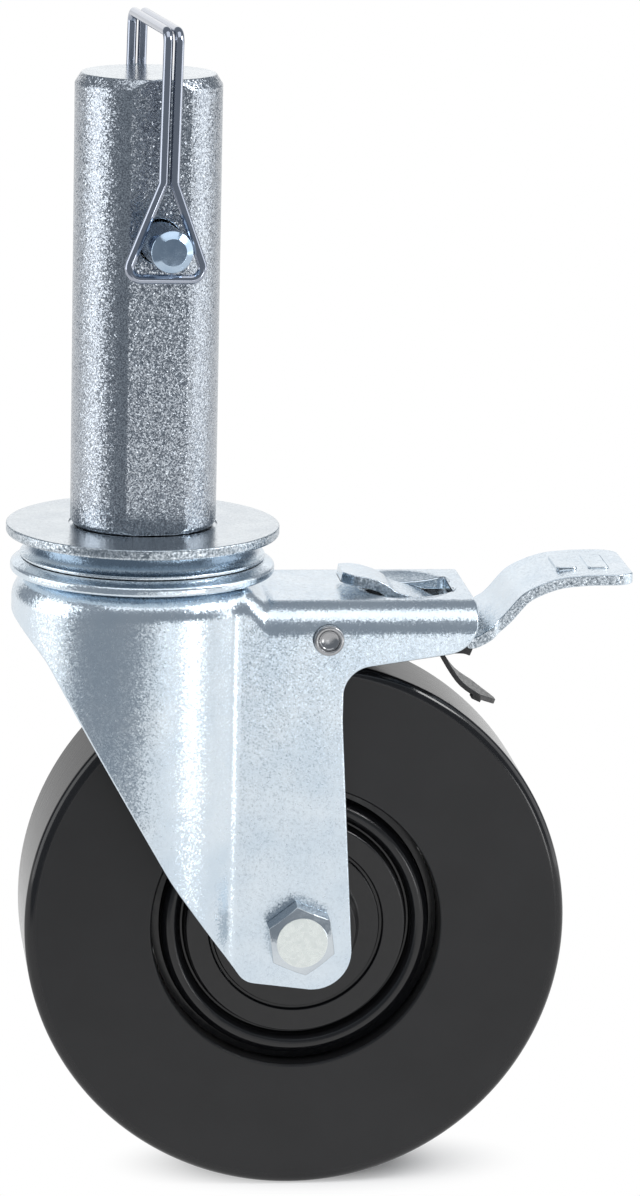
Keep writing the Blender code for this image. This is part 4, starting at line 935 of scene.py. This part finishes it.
def make_hub():
    """Moulded wheel centre: raised round ring, step, flat web and boss."""
    face = WHEEL_HALF_WIDTH
    web = face - 0.8 * MM
    groove = web - 1.0 * MM
    boss = face + 2.9 * MM
    half = [(HUB_BORE, boss, 0.3 * MM), (HUB_BOSS_RADIUS, boss, 0.5 * MM),
            (HUB_BOSS_RADIUS + 1.1 * MM, web, 0.5 * MM), (19.2 * MM, web, 0.2 * MM),
            (19.4 * MM, groove, 0.2 * MM), (20.1 * MM, groove, 0.2 * MM), (20.3 * MM, web, 0.2 * MM),
            (HUB_RING_INNER - 0.6 * MM, web, 0.6 * MM), (HUB_RING_INNER, face - 4.4 * MM, 0.3 * MM),
            (HUB_RING_INNER + 0.8 * MM, face - 4.4 * MM, 0.3 * MM),
            (HUB_RING_INNER + 1.0 * MM, face - 2.4 * MM, 0.9 * MM),
            (HUB_RING_INNER + 2.2 * MM, face - 1.1 * MM, 2.0 * MM),
            (HUB_RING_OUTER - 1.6 * MM, face - 1.1 * MM, 2.0 * MM),
            (HUB_RING_OUTER, face - 2.5 * MM, 1.2 * MM),
            (HUB_RING_OUTER + 0.2 * MM, face - 5.2 * MM, 0.3 * MM),
            (TYRE_BORE - SEAT_GAP, face - 5.4 * MM, 0)]
    hub = turned("hub_moulding", fillet(mirrored(half)), 192, NYLON)
    complete(hub, NYLON, "wheel", "hub", place=AXLE_FRAME)


def hexagon(name, height, look, share):
    """A hexagon on the fork's leg, its end coned to a circle that is a share of its flats' width."""
    low, high = HEAD_BASE, HEAD_BASE + height
    corner = BOLT_ACROSS_FLATS / sqrt(3)
    points = [polar(corner, radians(60 * side)) for side in range(6)]
    piece = new_piece(name, prism(points, low, high, "Z"), look)
    circle = share * BOLT_ACROSS_FLATS / 2
    slope = tan(radians(30))
    wide = 1.1 * corner
    steps = 96
    cone = turned("cone", [(0, high + MM), (circle - MM / slope, high + MM),
                           (wide, high - (wide - circle) * slope), (wide, low - MM), (0, low - MM)],
                  steps, look, closed=False)
    cone.data.transform(Matrix.Rotation(pi / steps, 4, "Z"))
    merge(piece, cone, "INTERSECT")
    return piece


def make_bolt():
    """Hexagon bolt: chamfered bright head, and a threaded end beyond the lock nut."""
    bolt = hexagon("axle_bolt_head", BOLT_HEAD, FASTENER, 0.82)
    end = -(HEAD_BASE + LOCKNUT_HEIGHT + 2.0 * MM)
    thread_start = -WHEEL_HALF_WIDTH
    combine(bolt, rod(BOLT_RADIUS - 0.02 * MM, thread_start, HEAD_BASE + MM, 48), "UNION")
    combine(bolt, threaded(BOLT_RADIUS - 0.05 * MM, BOLT_PITCH, end, thread_start + MM), "UNION")
    turn = Matrix.Rotation(BOLT_HEAD_TURN, 4, "Z")
    complete(bolt, FASTENER, "swivel", "axle_bolt",
             0.15 * MM, AXLE_FRAME @ turn, sharp=25.0, segments=2)
    second_look(bolt, DISC_ZINC, lambda face: abs(face.normal.y) < 0.97)


def make_lock_nut():
    """Lock nut with the round collar that holds its insert."""
    nut = hexagon("axle_lock_nut", LOCKNUT_HEIGHT - 1.6 * MM, SHEET_ZINC, 0.95)
    bore = BOLT_RADIUS + SEAT_GAP
    outer = BOLT_ACROSS_FLATS / 2 - 0.6 * MM
    low, high = HEAD_BASE + LOCKNUT_HEIGHT - 2.2 * MM, HEAD_BASE + LOCKNUT_HEIGHT
    combine(nut, rod(bore, HEAD_BASE - MM, high + MM), "DIFFERENCE")
    merge(nut, turned("collar", fillet([(bore, low, 0), (outer, low, 0), (outer, high, 0.8 * MM),
                                        (bore, high, 0.3 * MM)]), 64, SHEET_ZINC))
    complete(nut, SHEET_ZINC, "swivel", "axle_nut",
             0.15 * MM, AXLE_FRAME @ Matrix.Rotation(pi, 4, "X"), sharp=25.0, segments=2)


def make_rivet():
    """Tubular rivet: each rolled head has a rim, a fine groove and a dish."""
    dish_radius, dish_rise = 2.1 * MM, 0.6 * MM
    dish = []
    for step in range(9):
        turn = radians(80) * step / 8
        dish.append((dish_radius * sin(turn), HEAD_BASE + 0.2 * MM + dish_rise * (1 - cos(turn))))
    top = HEAD_BASE + 1.1 * MM
    rim = fillet([dish[-1] + (0,), (2.25 * MM, HEAD_BASE + 0.75 * MM, 0.05 * MM),
                  (2.4 * MM, HEAD_BASE + 0.35 * MM, 0.05 * MM), (2.5 * MM, top, 0.3 * MM),
                  (RIVET_HEAD_RADIUS, top, 0.6 * MM), (RIVET_HEAD_RADIUS, HEAD_BASE, 0.1 * MM),
                  (RIVET_RADIUS, HEAD_BASE, 0)], radians(15))
    points = dish + rim[1:]
    profile = points + [(radius, -height) for radius, height in reversed(points)]
    rivet = turned("brake_rivet_tube", profile, 72, FASTENER, closed=False)
    complete(rivet, HARD, "swivel", "brake_rivet", place=RIVET_FRAME)


# Brake

def lever_line():
    """Upper face of the brake lever, from the release tongue to the pedal's tip."""
    tongue = ARM_TOP + TONGUE_RISE
    pedal = ARM_TOP + PEDAL_RISE
    points = []
    for along, fall in ((0.0, 0.0), (0.19, 0.08), (0.367, 0.17), (0.563, 0.36), (0.684, 0.57), (0.78, 0.78)):
        points.append((TONGUE_TIP_X + along * (FULCRUM_X - TONGUE_TIP_X), tongue - fall * (tongue - KNEE_Z)))
    for along, fall in ((0.03, 0.0), (0.333, 0.2), (0.63, 0.56), (0.896, 1.0)):
        points.append((FULCRUM_X + along * (ARM_END - FULCRUM_X), KNEE_Z - fall * (KNEE_Z - LEVER_LOW)))
    for along, climb in ((0.035, 0.035), (0.108, 0.17), (0.189, 0.36), (0.297, 0.676), (0.405, 0.835),
                         (0.53, 0.944), (0.654, 0.985), (0.784, 1.0), (1.0, 1.0)):
        points.append((ARM_END + along * (PEDAL_TIP_X - ARM_END), LEVER_LOW + climb * (pedal - LEVER_LOW)))
    return smooth_line(points)


def make_lever():
    """Pressed lever with rounded cut edges and two low foot pads."""
    wide = PEDAL_ROOT_HALF_WIDTH + 2 * MM
    lever = new_piece("brake_lever_plate", prism(strip(lever_line(), LEVER_SHEET), -wide, wide), SHEET_ZINC)
    root = WINDOW_REAR + 0.6 * MM
    step = ARM_END + PEDAL_ROOT_LENGTH
    half = [(TONGUE_TIP_X - 2 * MM, 0, 0),
            (TONGUE_TIP_X - 0.2 * MM, TONGUE_HALF_WIDTH - 2.6 * MM, 2 * MM),
            (TONGUE_TIP_X + 2.6 * MM, TONGUE_HALF_WIDTH, 3 * MM),
            (FULCRUM_X + 5 * MM, TONGUE_HALF_WIDTH, 2 * MM),
            (root - 1 * MM, PEDAL_HALF_WIDTH - 3 * MM, 2 * MM),
            (root + 2 * MM, PEDAL_ROOT_HALF_WIDTH, 1 * MM),
            (step - 1.2 * MM, PEDAL_ROOT_HALF_WIDTH, 0.5 * MM), (step, PEDAL_HALF_WIDTH, 0.5 * MM),
            (PEDAL_TIP_X + 0.4 * MM, PEDAL_HALF_WIDTH, PEDAL_CORNER)]
    plan = fillet(half + [(x, -y, r) for x, y, r in reversed(half[1:])])
    combine(lever, prism(plan, AXLE_Z, STEM_LENGTH, "Z"), "INTERSECT")
    ear_radius = FULCRUM_RADIUS + 2.0 * MM
    top = KNEE_Z - 0.8 * LEVER_SHEET - FULCRUM_Z
    arc = [polar(ear_radius, radians(turn)) for turn in range(180, 361, 10)]
    ear = [(FULCRUM_X + x, FULCRUM_Z + z) for x, z in arc]
    ear += [(FULCRUM_X + ear_radius, FULCRUM_Z + top * 0.8), (FULCRUM_X - ear_radius, FULCRUM_Z + top)]
    for side in (-1, 1):
        near, far = sorted((side * TONGUE_HALF_WIDTH, side * (TONGUE_HALF_WIDTH - 2 * MM)))
        combine(lever, prism(ear, near, far), "UNION")
    combine(lever, rod(FULCRUM_RADIUS + 0.6 * RUN_GAP, -wide, wide), "DIFFERENCE", FULCRUM_FRAME)
    pedal_top = ARM_TOP + PEDAL_RISE
    for share in (0.54, 0.74):
        front = ARM_END + share * (PEDAL_TIP_X - ARM_END)
        pad = rounded_plan(front, front + PAD_LENGTH, PAD_HALF_WIDTH, MM)
        combine(lever, prism(pad, pedal_top - 1.5 * MM, pedal_top + PAD_RISE, "Z"), "UNION")
    complete(lever, SHEET_ZINC, "lever", "brake_lever", 0.25 * MM)
    second_look(lever, SHEARED, lambda face: abs(face.normal.y) > 0.9)


def make_shoe():
    """Black shoe: eye on the rivet, leaf with its nose, and a thin toothed tail over the tread."""
    eye = RIVET_RADIUS + RUN_GAP + EYE_WALL
    nose = LEVER_LOW - LEVER_SHEET - SEAT_GAP
    leaf = smooth_line([
        (RIVET_X + 1.0 * MM, RIVET_Z + eye - 0.3 * MM), (RIVET_X + 6.0 * MM, RIVET_Z + 0.6 * MM),
        (RIVET_X + 14.0 * MM, nose), (FULCRUM_X + 1.0 * MM, nose - 0.7 * MM),
        (WINDOW_REAR - 1.2 * MM, nose), (ARM_END - 1.6 * MM, nose),
        (ARM_END + 0.3 * MM, nose - 0.6 * MM)], 3)
    shoe = new_piece("brake_shoe_leaf", prism(strip(leaf, SHOE_SHEET), -SHOE_HALF_WIDTH, SHOE_HALF_WIDTH),
                     BLACK_STEEL)
    combine(shoe, rod(eye, -SHOE_HALF_WIDTH, SHOE_HALF_WIDTH), "UNION", RIVET_FRAME)
    root = ARM_END - TAIL_ROOT
    length = TAIL_ROOT + TAIL_REACH
    tail = smooth_line([(root + along * length, nose - drop * TAIL_DROP) for along, drop in (
        (0.0, 0.04), (0.1, 0.2), (0.23, 0.41), (0.41, 0.634), (0.68, 0.817), (1.0, 1.0))], 3)
    blade = new_piece("blade", prism(strip(tail, TAIL_SHEET), -TAIL_HALF_WIDTH, TAIL_HALF_WIDTH),
                      BLACK_STEEL)
    tooth_x = root + 0.56 * length
    tooth_z = nose - 0.78 * TAIL_DROP
    tooth = [(tooth_x, tooth_z), (tooth_x + 2.6 * MM, tooth_z - 1.4 * MM),
             (tooth_x + 1.8 * MM, tooth_z - 2.5 * MM), (tooth_x - 0.3 * MM, tooth_z - 1.5 * MM)]
    tooth_inner = TAIL_HALF_WIDTH - 3 * MM
    for near, far in ((-TAIL_HALF_WIDTH, -tooth_inner), (tooth_inner, TAIL_HALF_WIDTH)):
        combine(blade, prism(tooth, near, far), "UNION")
    shoulder = root + 0.68 * length
    wide = TAIL_HALF_WIDTH + MM
    tip = [(FULCRUM_X, -wide), (shoulder, -wide), (shoulder, -TAIL_HALF_WIDTH), (root + length, -MM),
           (root + length, MM), (shoulder, TAIL_HALF_WIDTH), (shoulder, wide), (FULCRUM_X, wide)]
    combine(blade, prism(tip, AXLE_Z, 0.0, "Z"), "INTERSECT")
    merge(shoe, blade)
    combine(shoe, rod(RIVET_RADIUS + RUN_GAP, -2 * SHOE_HALF_WIDTH, 2 * SHOE_HALF_WIDTH), "DIFFERENCE",
            RIVET_FRAME)
    complete(shoe, BLACK_STEEL, "shoe", "brake_shoe", 0.2 * MM, segments=2)


# Lock pin and wire clip

def make_lock_pin():
    """Lock pin with a chamfered tip and a turned neck at its back end."""
    neck_front = -CLIP_BACK + (WIRE_RADIUS + SEAT_GAP)
    neck_back = -CLIP_BACK - (WIRE_RADIUS + SEAT_GAP)
    corners = [(PIN_RADIUS - 1.65 * MM, PIN_FRONT, 0.2 * MM), (PIN_RADIUS, PIN_FRONT - 1.2 * MM, 0.3 * MM),
               (PIN_RADIUS, neck_front, 0.3 * MM), (PIN_NECK_RADIUS, neck_front, 0.3 * MM),
               (PIN_NECK_RADIUS, neck_back, 0.3 * MM), (PIN_RADIUS, neck_back, 0.3 * MM),
               (PIN_RADIUS, -PIN_BACK, 0.8 * MM)]
    profile = fillet([(0, PIN_FRONT, 0)] + corners + [(0, -PIN_BACK, 0)])
    pin = turned("lock_pin_bar", profile, 96, PIN_STEEL, closed=False)
    complete(pin, PIN_STEEL, "pin", "lock_pin", place=STEM_FRAME @ PIN_BORE)


def make_clip():
    """Spring wire clip in one length of wire."""
    run = WIRE_SPACING / 2
    fork_x = PIN_NECK_RADIUS + SEAT_GAP + WIRE_RADIUS
    half = [(fork_x, CLIP_BACK, -2.0 * MM), (fork_x, CLIP_BACK, 4.0 * MM), (run, CLIP_BACK, 10.0 * MM),
            (run, CLIP_BACK, CLIP_RISE), (run, -CLIP_FRONT, CLIP_RISE), (run, -CLIP_FRONT, CLIP_JUNCTION),
            (LOOP_HALF_WIDTH, -CLIP_FRONT, -CLIP_DROP)]
    path = half + [(-x, y, z) for x, y, z in reversed(half)]
    mesh = bpy.data.meshes.new("clip_path")
    mesh.from_pydata(path, [(i, i + 1) for i in range(len(path) - 1)], [])
    clip = grown("wire_clip_bow", mesh, BENT_WIRE, {"Wire Radius": WIRE_RADIUS - 0.01 * MM,
                                                    "Bend Radius": WIRE_BEND, "Finish": WIRE})
    face_out(clip.data)
    lean = Matrix.Rotation(CLIP_LEAN, 4, "Y")
    complete(clip, WIRE, "clip", "wire_clip",
             place=STEM_FRAME @ Matrix.Translation((0, 0, PIN_HEIGHT)) @ lean)


make_stem()
make_seat_disc()
make_upper_race()
make_ball_row("upper_ball_row", "upper_balls", 10, UPPER_BALL_CIRCLE, UPPER_BALL_Z)
make_race_ring()
make_ball_row("lower_ball_row", "lower_balls", 6, LOWER_BALL_CIRCLE, LOWER_BALL_Z)
make_fork()
make_tyre()
make_hub()
make_roller_cage()
make_bolt()
make_lock_nut()
make_rivet()
make_lever()
make_shoe()
make_lock_pin()
make_clip()

CAD_FINISHES = {
    "lower_race": DISC_ZINC, "kingpin_nut": SHEET_ZINC, "axle_sleeve": DISC_ZINC,
    "dust_cap_front": DISC_ZINC, "dust_cap_rear": DISC_ZINC, "fulcrum_bar": FASTENER,
    "return_spring": BLACK_STEEL}
for name, look in CAD_FINISHES.items():
    nodes[name].data.materials.clear()
    nodes[name].data.materials.append(look)


# Floor, backdrop, lamps and camera, in metres and watts

SHADOW_CENTRE = (AXLE_X + 8 * MM, 0, FLOOR_Z)
SHADOW_SHAPE = (0.5, 1.0, 1.0)
SHADOW_START = 4 * MM
SHADOW_END = 26 * MM
FLOOR_FRONT = [(-2.0, -0.12), (-0.24, -0.16), (-0.05, -0.30), (0.03, -0.72), (2.0, -0.72)]
BACKDROP_START = 2.8
BACKDROP_BEND = 0.5
BACKDROP_TOP = 1.55
ROOM_COLOUR = "#A9B0B8"
ROOM_STRENGTH = 0.72
LAMPS = {
    "left_box": ((-0.68, 0.0, 0.16), (0, 0, 0), 0.5, 0.62, 1.8),
    "right_box": ((0.72, -0.02, 0.16), (0.03, 0, 0), 0.5, 0.62, 1.3),
    "top_box": ((0.05, -0.35, 1.05), (0.03, 0, 0), 1.2, 0.8, 3.6),
    "back_box": ((0.12, 1.05, 0.44), (0.03, 0, 0), 1.3, 0.5, 0.5),
    "low_right_box": ((0.31, -0.37, -0.105), (0.02, 0, -0.07), 0.08, 0.09, 0.12),
    "high_right_box": ((0.47, -0.20, 0.40), (0.03, 0, 0), 0.2, 0.2, 1.4),
    "bolt_box": ((0.105, -0.313, -0.062), (0.037, -0.023, -0.092), 0.07, 0.07, 0.017)}
CAMERA_PLACE = (-0.089573, -1.103651, 0.233998)
CAMERA_YAW = 0.1179
CAMERA_PITCH = 0.223
CAMERA_ROLL = 0.0221
CAMERA_LENS = 148.91


def studio_paper():
    """Matt white paper: lit beside the wheel, where its shadow falls, and plain white further off."""
    made, tree, shader, place = new_material("studio_paper", "#FFFFFF", 0.9)
    shader.inputs["Specular IOR Level"].default_value = 0.0
    near = vector(tree, "SUBTRACT", place, SHADOW_CENTRE)
    reach = vector(tree, "LENGTH", vector(tree, "MULTIPLY", near, SHADOW_SHAPE))
    far = add(tree, "ShaderNodeMapRange", {"Value": reach, "From Min": SHADOW_START,
                                           "From Max": SHADOW_END}, interpolation_type="SMOOTHSTEP")
    path = add(tree, "ShaderNodeLightPath").outputs
    seen = path["Is Camera Ray"]
    for ray in ("Is Glossy Ray", "Is Transmission Ray"):
        seen = add(tree, "ShaderNodeMath", {0: seen, 1: path[ray]}, operation="MAXIMUM")
    share = add(tree, "ShaderNodeMath", {0: seen, 1: far}, operation="MULTIPLY")
    white = add(tree, "ShaderNodeEmission", {"Color": linear("#FFFFFF"), "Strength": 1.0})
    mixed = add(tree, "ShaderNodeMixShader", {0: share, 1: shader, 2: white})
    feed(tree, tree.nodes["Material Output"], {"Surface": mixed})
    return made


def make_stage():
    """Pale floor, its front left corner cut away, that curves up into a far, low backdrop."""
    shape = bmesh.new()
    rows = [[(x, y, 0.0) for x, y in FLOOR_FRONT]]
    for step in range(11):
        turn = radians(9) * step
        y = BACKDROP_START + BACKDROP_BEND * sin(turn)
        z = BACKDROP_BEND - BACKDROP_BEND * cos(turn)
        rows.append([(x, y, z) for x, _ in FLOOR_FRONT])
    rows.append([(x, BACKDROP_START + BACKDROP_BEND, BACKDROP_TOP) for x, _ in FLOOR_FRONT])
    points = [[shape.verts.new((x, y, FLOOR_Z + z)) for x, y, z in row] for row in rows]
    for lower, upper in zip(points, points[1:]):
        for index in range(len(FLOOR_FRONT) - 1):
            shape.faces.new((lower[index], lower[index + 1], upper[index + 1], upper[index]))
    mesh = bpy.data.meshes.new("studio_floor")
    shape.to_mesh(mesh)
    shape.free()
    mesh.shade_smooth()
    new_piece("studio_floor", mesh, studio_paper())


def make_lamp(name, place, aim, width, height, power):
    """A soft rectangular lamp that faces a point."""
    lamp = bpy.data.lights.new(name, "AREA")
    lamp.shape = "RECTANGLE"
    lamp.size = width
    lamp.size_y = height
    lamp.energy = power
    facing = (Vector(aim) - Vector(place)).to_track_quat("-Z", "Y")
    placed(name, lamp, Matrix.LocRotScale(Vector(place), facing, None))


def make_camera():
    """The photograph's camera: its place, direction, tilt and field of view."""
    yaw, pitch, roll = CAMERA_YAW, CAMERA_PITCH, CAMERA_ROLL
    ahead = Vector((sin(yaw) * cos(pitch), cos(yaw) * cos(pitch), -sin(pitch)))
    level = Vector((cos(yaw), -sin(yaw), 0))
    up = level.cross(ahead)
    right = level * cos(roll) + up * sin(roll)
    up = up * cos(roll) - level * sin(roll)
    data = bpy.data.cameras.new("camera")
    data.lens = CAMERA_LENS
    data.sensor_width = 36.0
    data.clip_end = 20.0
    facing = Matrix((right, up, -ahead)).transposed().to_4x4()
    bpy.context.scene.camera = placed("camera", data, Matrix.Translation(CAMERA_PLACE) @ facing)


def make_world():
    """Dim studio room; the camera sees white."""
    world = bpy.data.worlds.new("studio")
    world.use_nodes = True
    tree = world.node_tree
    tree.nodes.clear()
    seen = add(tree, "ShaderNodeLightPath").outputs["Is Camera Ray"]
    room = add(tree, "ShaderNodeBackground", {"Color": linear(ROOM_COLOUR), "Strength": ROOM_STRENGTH})
    white = add(tree, "ShaderNodeBackground", {"Color": linear("#FFFFFF"), "Strength": 1.0})
    mixed = add(tree, "ShaderNodeMixShader", {0: seen, 1: room, 2: white})
    add(tree, "ShaderNodeOutputWorld", {"Surface": mixed})
    bpy.context.scene.world = world


make_stage()
for name, lamp_values in LAMPS.items():
    make_lamp(name, *lamp_values)
make_camera()
make_world()
bpy.context.scene.view_settings.view_transform = "Standard"
